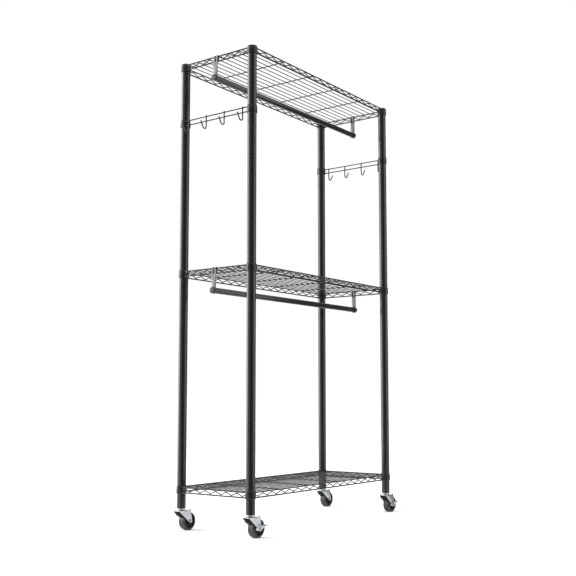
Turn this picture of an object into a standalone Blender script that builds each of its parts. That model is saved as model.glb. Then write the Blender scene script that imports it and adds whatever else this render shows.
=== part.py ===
"""Rolling garment rack: ringed posts on swivel casters, wire shelves, hanging rods and hook rails.

Metres, +Z up. X runs along the long side, Y across the depth, and the front of the rack is at -Y.
The origin is on the floor, at the centre of the whole rack's footprint. Every shape is worked out
from the driving dimensions below, and each separate piece of the rack is one object.
"""

import math

import bmesh
import bpy
from mathutils import Matrix, Vector

# Driving dimensions: the rack
LENGTH = 1.048  # between post axes along X
DEPTH = 0.372  # between post axes along Y
POST_RADIUS = 0.01905
POST_WALL = 0.0012
POST_BOTTOM = 0.094
POST_TOP = 2.008
GAP = 0.0003  # air left between pieces that touch

# Driving dimensions: wire shelves and their corner collars
SHELVES = {"top": 2.0, "middle": 1.0905, "bottom": 0.180}  # height of the upper frame wire's axis
TRUSS = 0.021  # upper frame wire to lower frame wire
FRAME_OUTSET = 0.013  # frame wires run this far outside the post axes
FRAME_WIRE = 0.0051
ZIGZAG_WIRE = 0.0036
ZIGZAG_PITCH = 0.060
DECK_WIRE = 0.0030
DECK_WIRES = 12
DECK_PITCH = 0.0306
DECK_RISE = 0.0007  # the deck wires lie this far above the upper frame wire's axis
CROSS_WIRES = 4
COLLAR_BELOW = 0.0035  # the collar ends this far below the lower wire
COLLAR_ABOVE = 0.0032
COLLAR_RADII = (0.0222, 0.0216)  # outside, at its lower and upper rim
SLEEVE_BELOW = 0.0050
SLEEVE_ABOVE = 0.0080
SLEEVE_RADII = (0.0206, 0.0201)
WIRE_END = 0.0178  # a frame wire ends this far from the post axis, inside the collar's wall
OUTER_DECK_END = 0.0125  # the outermost deck wires end here, in the wall of the collar beside them

# Driving dimensions: hook rails on the two short sides
RAIL_HEIGHT = 1.749
RAIL_SPACING = 0.020
RAIL_WIRE = 0.0042
HOOK_WIRE = 0.0042
HOOK_PLACES = (-0.150, -0.050, 0.050, 0.150)
HOOK_DROP = 0.056  # upper rail wire to the bottom of the hook
HOOK_BEND = 0.011
HOOK_TURN = 150  # degrees of bend
HOOK_ARM = 0.028
WELD = 0.0006  # a welded wire sinks this far into the wire it crosses

# Driving dimensions: hanging rods
ROD_DROP = 0.0928  # below the shelf's upper frame wire
ROD_RADIUS = 0.0125
ROD_WALL = 0.0012
CAP_RADIUS = 0.0140
CAP_LENGTH = 0.0095
CAP_PLUG = 0.014
STRAP_WIDTH = 0.023
STRAP = 0.0024  # its sheet's thickness
STRAP_AIR = 0.0006  # between the prongs and the frame wire that they hook over
PRONG_SLOT = 0.007
EYE_RADIUS = 0.0152

# Driving dimensions: casters, with their own places taken from the swivel axis on the floor
WHEEL_RADIUS = 0.0375
WHEEL_WIDTH = 0.031
TRAIL = 0.037
CROWN = (0.0810, 0.0840)  # heights of the fork's crown plate
LEG_FACES = (0.0175, 0.0200)
KINGPIN_RADIUS = 0.005
INSERT_TOP = 0.135
AXLE_RADIUS = 0.004
LEG_FOOT = 0.0080  # radius of a fork leg's rounded end, round the axle
LEG_FRONT = ((-0.0265, 0.0815), (-0.0255, CROWN[1] + GAP))
LEG_REAR = ((0.0205, CROWN[1] + GAP), (0.0385, 0.0900), (0.0395, 0.0760), (0.0452, 0.0480))
WHEEL_AIR = 0.0035  # between the tread and the toe guard
GUARD_TOP = CROWN[0] - 0.0044
GUARD_NOSE = 0.0230  # radius of the guard's nose about the swivel axis
GUARD_LIP = ((-0.0235, 0.0655), (-0.0150, 0.0640))  # the lip's lower edge, front to rear
RIVET_RADIUS = 0.0070
HUB_RADIUS = 0.012
RIM = (0.029, 0.031)  # inner and outer radius of the step from the web to the tyre
RIM_DEPTH = 0.003
TYRE_SHOULDER = (0.003, 0.004)  # how far the shoulder is cut back in radius and in width
LEVER_EYE = 0.0105
LEVER_END = 0.0045  # radius of the lever's two ends
LEVER_FRONT = (-0.024, -0.001)  # middles of the lever's ends, from the axle
LEVER_REAR = (0.025, 0.011)
BOLT_RADIUS = 0.0065
NUT_LENGTH = 0.005
RIVET_BOTTOM = CROWN[0] - 0.0038
LEVER_FACES = (0.0203, 0.0223)
LEVER_TAB = (0.019, 0.035)  # the foot tab's ends, from the axle
LEVER_TAB_HEIGHTS = (0.0095, 0.0115)
LEVER_TAB_OUT = 0.036  # the foot tab's outer edge, from the wheel's middle plane
BOLT_HEAD = 0.0045
NUT_END = 0.027

SIDES = 12  # sides of the posts and rods and of what is round them
BOLT_SIDES = 8
WHEEL_SIDES = 24  # with a corner straight below the axle, on the floor
CORNERS = {
    "front_left": (-1, -1),
    "front_right": (1, -1),
    "back_left": (-1, 1),
    "back_right": (1, 1),
}
BRAKED = ("front_left", "front_right")

# Reaches of the rack from the middle of its posts, which centre it on the origin
HOOK_REACH = (
    LENGTH / 2
    + FRAME_OUTSET
    + (RAIL_WIRE + HOOK_WIRE) / 2
    - WELD
    + HOOK_BEND * (1 - math.cos(math.radians(HOOK_TURN)))
    + HOOK_ARM * math.sin(math.radians(180 - HOOK_TURN))
    + HOOK_WIRE / 2 * math.cos(math.radians(180 - HOOK_TURN))
)
WHEEL_REACH = LENGTH / 2 + TRAIL + WHEEL_RADIUS
RACK_CENTRE = Vector(((HOOK_REACH - WHEEL_REACH) / 2, (LEVER_TAB_OUT - NUT_END) / 2, 0.0))


# ---------------------------------------------------------------- scene and materials


def clear_scene():
    """Removes every object that the file opened with."""
    for obj in list(bpy.data.objects):
        bpy.data.objects.remove(obj, do_unlink=True)


def material(name, color, roughness, metallic):
    """Makes one Principled material."""
    mat = bpy.data.materials.new(name)
    mat.use_nodes = True
    shader = mat.node_tree.nodes["Principled BSDF"]
    shader.inputs["Base Color"].default_value = (*color, 1.0)
    shader.inputs["Roughness"].default_value = roughness
    shader.inputs["Metallic"].default_value = metallic
    return mat


def empty(name, place, parent=None):
    """Makes an empty that other objects hang on."""
    holder = bpy.data.objects.new(name, None)
    bpy.context.collection.objects.link(holder)
    holder.location = place
    holder.parent = parent
    return holder


def put(name, mesh, mat, parent, place=(0.0, 0.0, 0.0), turn=0.0):
    """Places a mesh in the scene as a named piece, turned about Z, with its material."""
    if not mesh.materials:
        mesh.materials.append(mat)
    piece = bpy.data.objects.new(name, mesh)
    bpy.context.collection.objects.link(piece)
    piece.parent = parent
    piece.location = place
    piece.rotation_euler = (0.0, 0.0, turn)
    return piece


def smooth(mesh, angle=35):
    """Shades the round faces smooth and keeps the real edges sharp."""
    mesh.shade_smooth()
    mesh.set_sharp_from_angle(angle=math.radians(angle))
    return mesh


# ---------------------------------------------------------------- solids


def mesh_of(points, faces):
    """Makes a mesh with all its faces pointing out."""
    mesh = bpy.data.meshes.new("solid")
    mesh.from_pydata([tuple(p) for p in points], [], faces)
    shape = bmesh.new()
    shape.from_mesh(mesh)
    bmesh.ops.recalc_face_normals(shape, faces=shape.faces)
    shape.to_mesh(mesh)
    shape.free()
    return mesh


def turned(profile, sides, axis="Z", closed=False):
    """Turns a profile of (radius, height) points about an axis.

    A closed profile makes a ring; an open one starts and ends on the axis.
    """
    points = []
    rings = []
    for radius, height in profile:
        if radius == 0.0:
            rings.append([len(points)] * sides)
            points.append((0.0, 0.0, height))
            continue
        rings.append(list(range(len(points), len(points) + sides)))
        for k in range(sides):
            angle = 2 * math.pi * k / sides
            points.append((radius * math.cos(angle), radius * math.sin(angle), height))
    faces = []
    count = len(rings)
    for i in range(count if closed else count - 1):
        low, high = rings[i], rings[(i + 1) % count]
        for k in range(sides):
            nxt = (k + 1) % sides
            corners = [low[k], low[nxt], high[nxt], high[k]]
            face = list(dict.fromkeys(corners))
            if len(face) > 2:
                faces.append(face)
    mesh = mesh_of(points, faces)
    if axis == "X":
        mesh.transform(Matrix.Rotation(math.radians(90), 4, "Y"))
    if axis == "Y":
        mesh.transform(Matrix.Rotation(math.radians(-90), 4, "X"))
    return mesh


def disc(radius, length, sides, axis, centre):
    """A solid cylinder about an axis, with its middle at centre."""
    half = length / 2
    profile = [(0.0, -half), (radius, -half), (radius, half), (0.0, half)]
    return moved(turned(profile, sides, axis), centre)


def prism(outline, start, end, along):
    """Extrudes an outline. along is 'X' (outline in YZ), 'Y' (outline in XZ) or 'Z' (outline in XY)."""
    place = {
        "X": lambda u, v, w: (w, u, v),
        "Y": lambda u, v, w: (u, w, v),
        "Z": lambda u, v, w: (u, v, w),
    }[along]
    count = len(outline)
    points = [place(u, v, start) for u, v in outline]
    points += [place(u, v, end) for u, v in outline]
    faces = [list(range(count)), list(range(count, 2 * count))]
    for k in range(count):
        nxt = (k + 1) % count
        faces.append([k, nxt, count + nxt, count + k])
    return mesh_of(points, faces)


def box(low, high):
    """Makes a box from its lowest and highest corners."""
    outline = [(low[0], low[1]), (high[0], low[1]), (high[0], high[1]), (low[0], high[1])]
    return prism(outline, low[2], high[2], "Z")


def wire(path, normal, thick):
    """Sweeps a square section along a path that lies in one plane, with mitred bends."""
    path = [Vector(p) for p in path]
    normal = Vector(normal)
    points = []
    for i, here in enumerate(path):
        before = (here - path[i - 1]).normalized() if i else None
        after = (path[i + 1] - here).normalized() if i + 1 < len(path) else None
        side_a = normal.cross(before or after)
        side_b = normal.cross(after or before)
        mitre = (side_a + side_b).normalized()
        across = mitre * (thick / 2 / mitre.dot(side_a))
        up = normal * (thick / 2)
        points += [here - across - up, here + across - up, here + across + up, here - across + up]
    faces = [[0, 1, 2, 3], list(range(len(points) - 4, len(points)))]
    for i in range(len(path) - 1):
        for k in range(4):
            nxt = (k + 1) % 4
            faces.append([4 * i + k, 4 * i + nxt, 4 * i + 4 + nxt, 4 * i + 4 + k])
    return mesh_of(points, faces)


def moved(mesh, offset):
    """Moves a mesh and returns it."""
    mesh.transform(Matrix.Translation(offset))
    return mesh


def combine(base, others, operation):
    """Combines a mesh with others by one exact Boolean and returns the result as a plain mesh."""
    body = bpy.data.objects.new("body", base)
    bpy.context.collection.objects.link(body)
    group = bpy.data.collections.new("others")
    bpy.context.scene.collection.children.link(group)
    for mesh in others:
        group.objects.link(bpy.data.objects.new("other", mesh))
    cut = body.modifiers.new("combine", "BOOLEAN")
    cut.operation = operation
    cut.operand_type = "COLLECTION"
    cut.collection = group
    cut.solver = "EXACT"
    graph = bpy.context.evaluated_depsgraph_get()
    result = bpy.data.meshes.new_from_object(body.evaluated_get(graph))
    bpy.data.objects.remove(body, do_unlink=True)
    for obj in list(group.objects):
        bpy.data.objects.remove(obj, do_unlink=True)
    bpy.data.collections.remove(group)
    return result


def arc(centre, radius, start, end, steps):
    """Points along an arc, in degrees from the first axis towards the second."""
    turns = [math.radians(start + (end - start) * k / steps) for k in range(steps + 1)]
    return [(centre[0] + radius * math.cos(t), centre[1] + radius * math.sin(t)) for t in turns]


# ---------------------------------------------------------------- posts, sleeves and collars


def post_mesh():
    """A steel tube, open at both ends."""
    inner = POST_RADIUS - POST_WALL
    profile = [
        (POST_RADIUS, POST_BOTTOM),
        (POST_RADIUS, POST_TOP),
        (inner, POST_TOP),
        (inner, POST_BOTTOM),
    ]
    return smooth(turned(profile, SIDES, closed=True))


def sleeve_mesh(upper, lower):
    """The tapered plastic sleeve between a post and a collar, round the axis of one post."""
    bore = POST_RADIUS + GAP
    bottom = lower - SLEEVE_BELOW
    top = upper + SLEEVE_ABOVE
    profile = [(SLEEVE_RADII[0], bottom), (SLEEVE_RADII[1], top), (bore, top), (bore, bottom)]
    return smooth(turned(profile, SIDES, closed=True))


def collar_mesh(upper, lower):
    """The tapered steel collar that a shelf or rail grips its sleeve with."""
    bottom = lower - COLLAR_BELOW
    top = upper + COLLAR_ABOVE
    profile = [
        (COLLAR_RADII[0], bottom),
        (COLLAR_RADII[1], top),
        (SLEEVE_RADII[1] + GAP, top),
        (SLEEVE_RADII[0] + GAP, bottom),
    ]
    return turned(profile, SIDES, closed=True)


# ---------------------------------------------------------------- wire shelves and hook rails


def zigzag(half, upper, lower):
    """Points of a truss wire between two collars: (distance along the side, height)."""
    reach = half - WIRE_END
    waves = round(2 * reach / ZIGZAG_PITCH)
    bend = FRAME_WIRE / 2 + GAP + ZIGZAG_WIRE * 0.62
    step = 2 * reach / waves / 2
    points = [(-reach, (upper + lower) / 2)]
    for k in range(2 * waves):
        height = lower + bend if k % 2 == 0 else upper - bend
        points.append((-reach + step * (k + 0.5), height))
    points.append((reach, (upper + lower) / 2))
    return points


def truss_side(along_x, side, half, offset, upper, lower):
    """One side of a shelf: its two frame wires and the zigzag wire between them."""
    normal = (0, 1, 0) if along_x else (1, 0, 0)
    reach = half - WIRE_END

    def place(u, z):
        return (u, side * offset, z) if along_x else (side * offset, u, z)

    pieces = [
        wire([place(-reach, z), place(reach, z)], normal, FRAME_WIRE) for z in (upper, lower)
    ]
    path = [place(u, z) for u, z in zigzag(half, upper, lower)]
    pieces.append(wire(path, normal, ZIGZAG_WIRE))
    return pieces


def shelf_mesh(upper):
    """A welded wire shelf: four collars, four trussed sides, deck wires and cross wires."""
    lower = upper - TRUSS
    long_half, short_half = LENGTH / 2, DEPTH / 2
    frame_x, frame_y = long_half + FRAME_OUTSET, short_half + FRAME_OUTSET
    pieces = []
    for x, y in CORNERS.values():
        pieces.append(moved(collar_mesh(upper, lower), (x * long_half, y * short_half, 0)))
    for side in (-1, 1):
        pieces += truss_side(True, side, long_half, frame_y, upper, lower)
        pieces += truss_side(False, side, short_half, frame_x, upper, lower)
    deck = upper + DECK_RISE
    for k in range(DECK_WIRES):
        y = (k - (DECK_WIRES - 1) / 2) * DECK_PITCH
        meets_collar = abs(abs(y) - short_half) < COLLAR_RADII[0]
        end = long_half - OUTER_DECK_END if meets_collar else frame_x + WELD
        ends = [(-end, y, deck), (end, y, deck)]
        pieces.append(wire(ends, (0, 1, 0), DECK_WIRE))
    under = deck - (DECK_WIRE + ZIGZAG_WIRE) / 2 - GAP
    for k in range(CROSS_WIRES):
        x = (k - (CROSS_WIRES - 1) / 2) * 2 * frame_x / (CROSS_WIRES + 1)
        ends = [(x, -frame_y - WELD, under), (x, frame_y + WELD, under)]
        pieces.append(wire(ends, (1, 0, 0), ZIGZAG_WIRE))
    return combine(pieces[0], pieces[1:], "UNION")


def hook_path(side, frame_x):
    """Points of one hook in the XZ plane: down the outside of both rail wires, round and up."""
    stem = frame_x + (RAIL_WIRE + HOOK_WIRE) / 2 - WELD
    low = RAIL_HEIGHT - HOOK_DROP
    centre = (stem + HOOK_BEND, low + HOOK_BEND)
    points = [(stem, RAIL_HEIGHT + RAIL_WIRE)]
    points += arc(centre, HOOK_BEND, 180, 180 + HOOK_TURN, 4)
    lean = math.radians(180 - HOOK_TURN)
    tip = points[-1]
    points.append((tip[0] + HOOK_ARM * math.sin(lean), tip[1] + HOOK_ARM * math.cos(lean)))
    return [(side * x, z) for x, z in points]


def rail_mesh(side):
    """A hook rail on one short side: two collars, two wires and four welded hooks."""
    upper, lower = RAIL_HEIGHT, RAIL_HEIGHT - RAIL_SPACING
    half = DEPTH / 2
    frame_x = LENGTH / 2 + FRAME_OUTSET
    reach = half - WIRE_END
    pieces = []
    for y in (-1, 1):
        pieces.append(moved(collar_mesh(upper, lower), (side * LENGTH / 2, y * half, 0)))
    for z in (upper, lower):
        ends = [(side * frame_x, -reach, z), (side * frame_x, reach, z)]
        pieces.append(wire(ends, (1, 0, 0), RAIL_WIRE))
    for y in HOOK_PLACES:
        path = [(x, y, z) for x, z in hook_path(side, frame_x)]
        pieces.append(wire(path, (0, 1, 0), HOOK_WIRE))
    return combine(pieces[0], pieces[1:], "UNION")


# ---------------------------------------------------------------- hanging rods


def strap_faces():
    """X of the strap's inner and outer face, just outside the shelf's frame wires."""
    inner = LENGTH / 2 + FRAME_OUTSET + FRAME_WIRE / 2 + STRAP_AIR
    return inner, inner + STRAP


def bracket_mesh(side, upper):
    """A strap bracket: two prongs hook over the shelf's side, and an eye holds the rod."""
    inner, outer = strap_faces()
    back = inner - FRAME_WIRE - 2 * STRAP_AIR
    top = upper + FRAME_WIRE / 2 + STRAP_AIR
    foot = upper - TRUSS - FRAME_WIRE / 2
    rod = upper - ROD_DROP
    outline = [
        (inner, rod),
        (outer, rod),
        (outer, top + STRAP),
        (back - STRAP, top + STRAP),
        (back - STRAP, foot),
        (back, foot),
        (back, top),
        (inner, top),
    ]
    half = STRAP_WIDTH / 2
    strap = prism([(side * x, z) for x, z in outline], -half, half, "Y")
    middle = side * (inner + outer) / 2
    eye = disc(EYE_RADIUS, STRAP + GAP, 2 * SIDES, "X", (middle, 0, rod))
    body = combine(strap, [eye], "UNION")
    slot = box((middle - 0.03, -PRONG_SLOT / 2, foot), (middle + 0.03, PRONG_SLOT / 2, top + 0.01))
    hole = disc(ROD_RADIUS + GAP, 0.02, SIDES, "X", (middle, 0, rod))
    return combine(body, [slot, hole], "DIFFERENCE")


def rod_mesh():
    """The hanging rod, a steel tube along X about its own middle."""
    half = strap_faces()[1] + 0.0007
    bore = ROD_RADIUS - ROD_WALL
    profile = [(ROD_RADIUS, -half), (ROD_RADIUS, half), (bore, half), (bore, -half)]
    return smooth(turned(profile, SIDES, "X", closed=True))


def cap_mesh(side):
    """The plastic end cap of a rod, with its plug inside the tube."""
    end = strap_faces()[1] + 0.0007
    plug = ROD_RADIUS - ROD_WALL - GAP
    face = end + GAP
    profile = [
        (0.0, end - CAP_PLUG),
        (plug, end - CAP_PLUG),
        (plug, face),
        (CAP_RADIUS, face),
        (CAP_RADIUS, face + CAP_LENGTH - 0.0015),
        (CAP_RADIUS - 0.0015, face + CAP_LENGTH),
        (0.0, face + CAP_LENGTH),
    ]
    mesh = turned(profile, SIDES, "X")
    if side < 0:
        mesh.transform(Matrix.Rotation(math.pi, 4, "Z"))
    return smooth(mesh)


# ---------------------------------------------------------------- casters


def stem_mesh():
    """The caster's stem: its insert in the post, the bearing head and the kingpin below."""
    head = POST_RADIUS - 0.001
    insert = POST_RADIUS - POST_WALL - 0.0008
    profile = [
        (0.0, RIVET_BOTTOM),
        (RIVET_RADIUS, RIVET_BOTTOM),
        (RIVET_RADIUS, CROWN[0] - GAP),
        (KINGPIN_RADIUS, CROWN[0] - GAP),
        (KINGPIN_RADIUS, CROWN[1] + 2 * GAP),
        (head, CROWN[1] + 2 * GAP),
        (head, POST_BOTTOM - GAP),
        (insert, POST_BOTTOM - GAP),
        (insert, INSERT_TOP),
        (0.0, INSERT_TOP),
    ]
    return smooth(turned(profile, SIDES))


def leg_outline():
    """A fork leg in XZ: a slanted front edge, a rounded end below the axle, a raised rear corner."""
    return [*arc((TRAIL, WHEEL_RADIUS), LEG_FOOT, -20, -130, 5), *LEG_FRONT, *LEG_REAR]


def fork_mesh():
    """The pressed steel fork: a crown plate and two legs, with holes for kingpin and axle."""
    inner, outer = LEG_FACES
    left = prism(leg_outline(), -outer, -inner, "Y")
    right = prism(leg_outline(), inner, outer, "Y")
    crown = box((-0.0245, -outer + 0.001, CROWN[0]), (0.0375, outer - 0.001, CROWN[1]))
    body = combine(crown, [left, right], "UNION")
    kingpin = disc(KINGPIN_RADIUS + GAP, 0.02, SIDES, "Z", (0, 0, sum(CROWN) / 2))
    bolt = disc(AXLE_RADIUS + GAP, 0.06, BOLT_SIDES, "Y", (TRAIL, 0, WHEEL_RADIUS))
    return combine(body, [kingpin, bolt], "DIFFERENCE")


def guard_mesh():
    """The plastic toe guard: a visor that clears the wheel, with a nose round the swivel axis."""
    bore = arc((TRAIL, WHEEL_RADIUS), WHEEL_RADIUS + WHEEL_AIR, 152, 124, 4)
    side_view = [*bore, (0.0140, GUARD_TOP), (GUARD_LIP[0][0], GUARD_TOP), *GUARD_LIP]
    visor = prism(side_view, -0.03, 0.03, "Y")
    half = LEG_FACES[0] - GAP
    nose = arc((0.0, 0.0), GUARD_NOSE, 180 - 48, 180 + 48, 8)
    plan = nose + [(nose[-1][0], -half), (0.02, -half), (0.02, half), (nose[0][0], half)]
    return combine(visor, [prism(plan, 0.05, 0.08, "Z")], "INTERSECT")


def axle_mesh(braked):
    """The axle bolt about its own middle, with its head in front and its nut behind."""
    seat = (LEVER_FACES[1] if braked else LEG_FACES[1]) + GAP
    nut = LEG_FACES[1] + GAP
    profile = [
        (0.0, -seat - BOLT_HEAD),
        (BOLT_RADIUS, -seat - BOLT_HEAD),
        (BOLT_RADIUS, -seat),
        (AXLE_RADIUS, -seat),
        (AXLE_RADIUS, nut),
        (BOLT_RADIUS, nut),
        (BOLT_RADIUS, nut + NUT_LENGTH),
        (AXLE_RADIUS, nut + NUT_LENGTH),
        (AXLE_RADIUS, NUT_END),
        (0.0, NUT_END),
    ]
    return smooth(turned(profile, BOLT_SIDES, "Y"))


def wheel_mesh():
    """The wheel about its own axle: a hub, a thin web and a tyre with rounded shoulders."""
    half = WHEEL_WIDTH / 2
    bore = AXLE_RADIUS + GAP
    profile = [
        (bore, -half - 0.001),
        (HUB_RADIUS, -half - 0.001),
        (RIM[0], -half + RIM_DEPTH),
        (RIM[1], -half),
        (WHEEL_RADIUS - TYRE_SHOULDER[0], -half),
        (WHEEL_RADIUS, -half + TYRE_SHOULDER[1]),
    ]
    mirrored = [(radius, -height) for radius, height in reversed(profile)]
    return smooth(turned(profile + mirrored, WHEEL_SIDES, "Y", closed=True))


def lever_mesh():
    """The brake lever about its axle: an eye, a short front arm, a rear arm and a foot tab."""
    outline = arc((0.0, 0.0), LEVER_EYE, -60, -120, 3)
    outline += arc(LEVER_FRONT, LEVER_END, -110, -250, 4)
    outline += arc((0.0, 0.0), LEVER_EYE, 110, 75, 2)
    outline += arc(LEVER_REAR, LEVER_END, 110, -50, 4)
    plate = prism(outline, -LEVER_FACES[1], -LEVER_FACES[0], "Y")
    low, high = LEVER_TAB_HEIGHTS
    tab = box((LEVER_TAB[0], -LEVER_TAB_OUT, low), (LEVER_TAB[1], -LEVER_FACES[0] - GAP, high))
    body = combine(plate, [tab], "UNION")
    bolt = disc(AXLE_RADIUS + GAP, 0.06, BOLT_SIDES, "Y", (0, 0, 0))
    return combine(body, [bolt], "DIFFERENCE")


# ---------------------------------------------------------------- the rack


def build_frame(rack, mats):
    """Posts, shelves with their sleeves, and hook rails with theirs."""
    post = post_mesh()
    for corner, (x, y) in CORNERS.items():
        put(f"post_{corner}", post, mats["coated"], rack, (x * LENGTH / 2, y * DEPTH / 2, 0))
    for level, upper in SHELVES.items():
        put(f"{level}_shelf", shelf_mesh(upper), mats["wire"], rack)
        sleeve = sleeve_mesh(upper, upper - TRUSS)
        for corner, (x, y) in CORNERS.items():
            place = (x * LENGTH / 2, y * DEPTH / 2, 0)
            put(f"{level}_sleeve_{corner}", sleeve, mats["plastic"], rack, place)
    sleeve = sleeve_mesh(RAIL_HEIGHT, RAIL_HEIGHT - RAIL_SPACING)
    for side, name in ((-1, "left"), (1, "right")):
        put(f"{name}_hook_rail", rail_mesh(side), mats["wire"], rack)
    for corner, (x, y) in CORNERS.items():
        place = (x * LENGTH / 2, y * DEPTH / 2, 0)
        put(f"rail_sleeve_{corner}", sleeve, mats["plastic"], rack, place)


def build_rods(rack, mats):
    """Two hanging rods, each with two strap brackets and two end caps."""
    for name, level in (("upper", "top"), ("lower", "middle")):
        upper = SHELVES[level]
        height = upper - ROD_DROP
        put(f"{name}_rod", rod_mesh(), mats["coated"], rack, (0, 0, height))
        for side, end in ((-1, "left"), (1, "right")):
            bracket = bracket_mesh(side, upper)
            put(f"{name}_rod_bracket_{end}", bracket, mats["bracket"], rack)
            put(f"{name}_rod_cap_{end}", cap_mesh(side), mats["plastic"], rack, (0, 0, height))


def build_casters(rack, mats):
    """Four swivel casters; the two at the front have a brake lever."""
    meshes = {
        "stem": stem_mesh(),
        "fork": fork_mesh(),
        "guard": guard_mesh(),
        "wheel": wheel_mesh(),
        "lever": lever_mesh(),
    }
    for corner, (x, y) in CORNERS.items():
        braked = corner in BRAKED
        place = (x * LENGTH / 2, y * DEPTH / 2, 0)
        put(f"stem_{corner}", meshes["stem"], mats["zinc"], rack, place)
        swivel = empty(f"swivel_axis_{corner}", place, rack)
        put(f"fork_{corner}", meshes["fork"], mats["zinc"], swivel)
        put(f"toe_guard_{corner}", meshes["guard"], mats["plastic"], swivel)
        axle = (TRAIL, 0, WHEEL_RADIUS)
        put(f"axle_{corner}", axle_mesh(braked), mats["zinc"], swivel, axle)
        put(f"wheel_{corner}", meshes["wheel"], mats["rubber"], swivel, axle)
        if braked:
            put(f"brake_lever_{corner}", meshes["lever"], mats["zinc"], swivel, axle)


def main():
    """Builds the whole rack."""
    clear_scene()
    mats = {
        "coated": material("black_coated_steel", (0.018, 0.018, 0.020), 0.38, 0.0),
        "wire": material("black_coated_wire", (0.020, 0.020, 0.022), 0.42, 0.0),
        "bracket": material("black_coated_strap", (0.030, 0.030, 0.032), 0.45, 0.0),
        "plastic": material("black_plastic", (0.012, 0.012, 0.013), 0.50, 0.0),
        "rubber": material("dark_rubber", (0.025, 0.025, 0.026), 0.70, 0.0),
        "zinc": material("zinc_plated_steel", (0.62, 0.62, 0.63), 0.35, 1.0),
    }
    rack = empty("rack", RACK_CENTRE)
    build_frame(rack, mats)
    build_rods(rack, mats)
    build_casters(rack, mats)


main()
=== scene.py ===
"""Studio scene of a black wire garment rack on casters.

Lengths are in metres, +Z is up, X runs along the long side and the front of the rack is at -Y.
Each sub-assembly is a class: its fields are sizes, and its methods build the meshes and dress
them. Places that sub-assemblies share come from RackPlan, and finishes are small classes that
each make one procedural material.
"""

from __future__ import annotations

import logging
import math
from dataclasses import dataclass, field
from enum import Enum
from typing import Iterable, Sequence

import bmesh
import bpy
from mathutils import Matrix, Vector

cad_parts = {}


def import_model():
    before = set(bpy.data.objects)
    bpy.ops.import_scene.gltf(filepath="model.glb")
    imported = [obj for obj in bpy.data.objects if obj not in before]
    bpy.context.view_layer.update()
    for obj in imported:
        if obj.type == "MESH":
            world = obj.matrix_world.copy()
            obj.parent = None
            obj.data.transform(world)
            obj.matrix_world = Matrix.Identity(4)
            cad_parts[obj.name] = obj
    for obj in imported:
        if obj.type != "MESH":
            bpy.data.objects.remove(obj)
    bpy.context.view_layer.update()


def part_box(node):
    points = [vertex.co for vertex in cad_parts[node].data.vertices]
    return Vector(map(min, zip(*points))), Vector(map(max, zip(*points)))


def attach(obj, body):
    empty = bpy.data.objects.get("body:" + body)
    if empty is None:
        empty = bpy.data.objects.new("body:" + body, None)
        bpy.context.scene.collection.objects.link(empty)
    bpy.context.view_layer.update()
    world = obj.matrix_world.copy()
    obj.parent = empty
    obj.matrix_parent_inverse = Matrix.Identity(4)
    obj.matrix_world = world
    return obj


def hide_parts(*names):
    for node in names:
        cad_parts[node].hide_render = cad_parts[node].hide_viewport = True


LOG = logging.getLogger("garment_rack")
FRAME_BODY = "frame"
SMOOTH_BELOW = math.radians(35)  # faces that meet at less than this shade as one surface
SAME_POINT = 1e-7  # points closer than this are one point
NEARLY_STRAIGHT = math.radians(88)  # half the angle of a corner that needs no bend
MOST_REACH = 0.49  # share of a path's segment that a bend at its end may take up
CUT_END = 0.25  # chamfer of a wire's cut end, as a share of its radius
TONE_EDGES = (0.35, 0.65)  # noise values between which one tone turns into the other
GLOSS_EDGES = (0.3, 0.7)  # noise values between which the roughness runs
MIX_INPUTS = (0, 6, 7)  # a colour mix's sockets for the factor and the two colours
MIX_OUTPUT = 2  # its socket for the result

Point2 = tuple[float, float]
Point3 = tuple[float, float, float]


class Axis(Enum):
    """World axis that a profile is turned about."""

    X = 0
    Y = 1
    Z = 2


class Side(Enum):
    """One short end of the rack."""

    LEFT = -1
    RIGHT = 1

    @property
    def word(self) -> str:
        """The name as it stands in the names of pieces."""
        return self.name.lower()


class Corner(Enum):
    """One corner post, by its signs along X and Y."""

    FRONT_LEFT = (-1, -1)
    FRONT_RIGHT = (1, -1)
    BACK_LEFT = (-1, 1)
    BACK_RIGHT = (1, 1)

    @property
    def word(self) -> str:
        """The name as it stands in the names of pieces."""
        return self.name.lower()

    @property
    def braked(self) -> bool:
        """Whether the caster at this corner has a brake lever."""
        return self.value[1] < 0


class Level(Enum):
    """A wire shelf, by the height of its upper frame wire."""

    TOP = 2.0
    MIDDLE = 1.0905
    BOTTOM = 0.180

    @property
    def word(self) -> str:
        """The name as it stands in the names of pieces."""
        return self.name.lower()


class Slot(Enum):
    """Material slots of the record."""

    POST = "coated_post"
    WIRE = "coated_wire"
    ROD = "coated_rod"
    STRAP = "coated_strap"
    SLEEVE = "sleeve_plastic"
    GUARD = "guard_plastic"
    WHEEL = "wheel_rubber"
    ZINC = "zinc_steel"


# ---------------------------------------------------------------- finishes


def linear(code: str) -> tuple[float, float, float, float]:
    """Turns an sRGB hex code into a linear colour.

    Args:
        code: six hex digits, such as "1a1b1c".

    Returns:
        Linear red, green, blue and an alpha of 1.
    """
    parts = [int(code[k : k + 2], 16) / 255 for k in (0, 2, 4)]
    out = [c / 12.92 if c <= 0.04045 else ((c + 0.055) / 1.055) ** 2.4 for c in parts]
    return (*out, 1.0)


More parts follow.
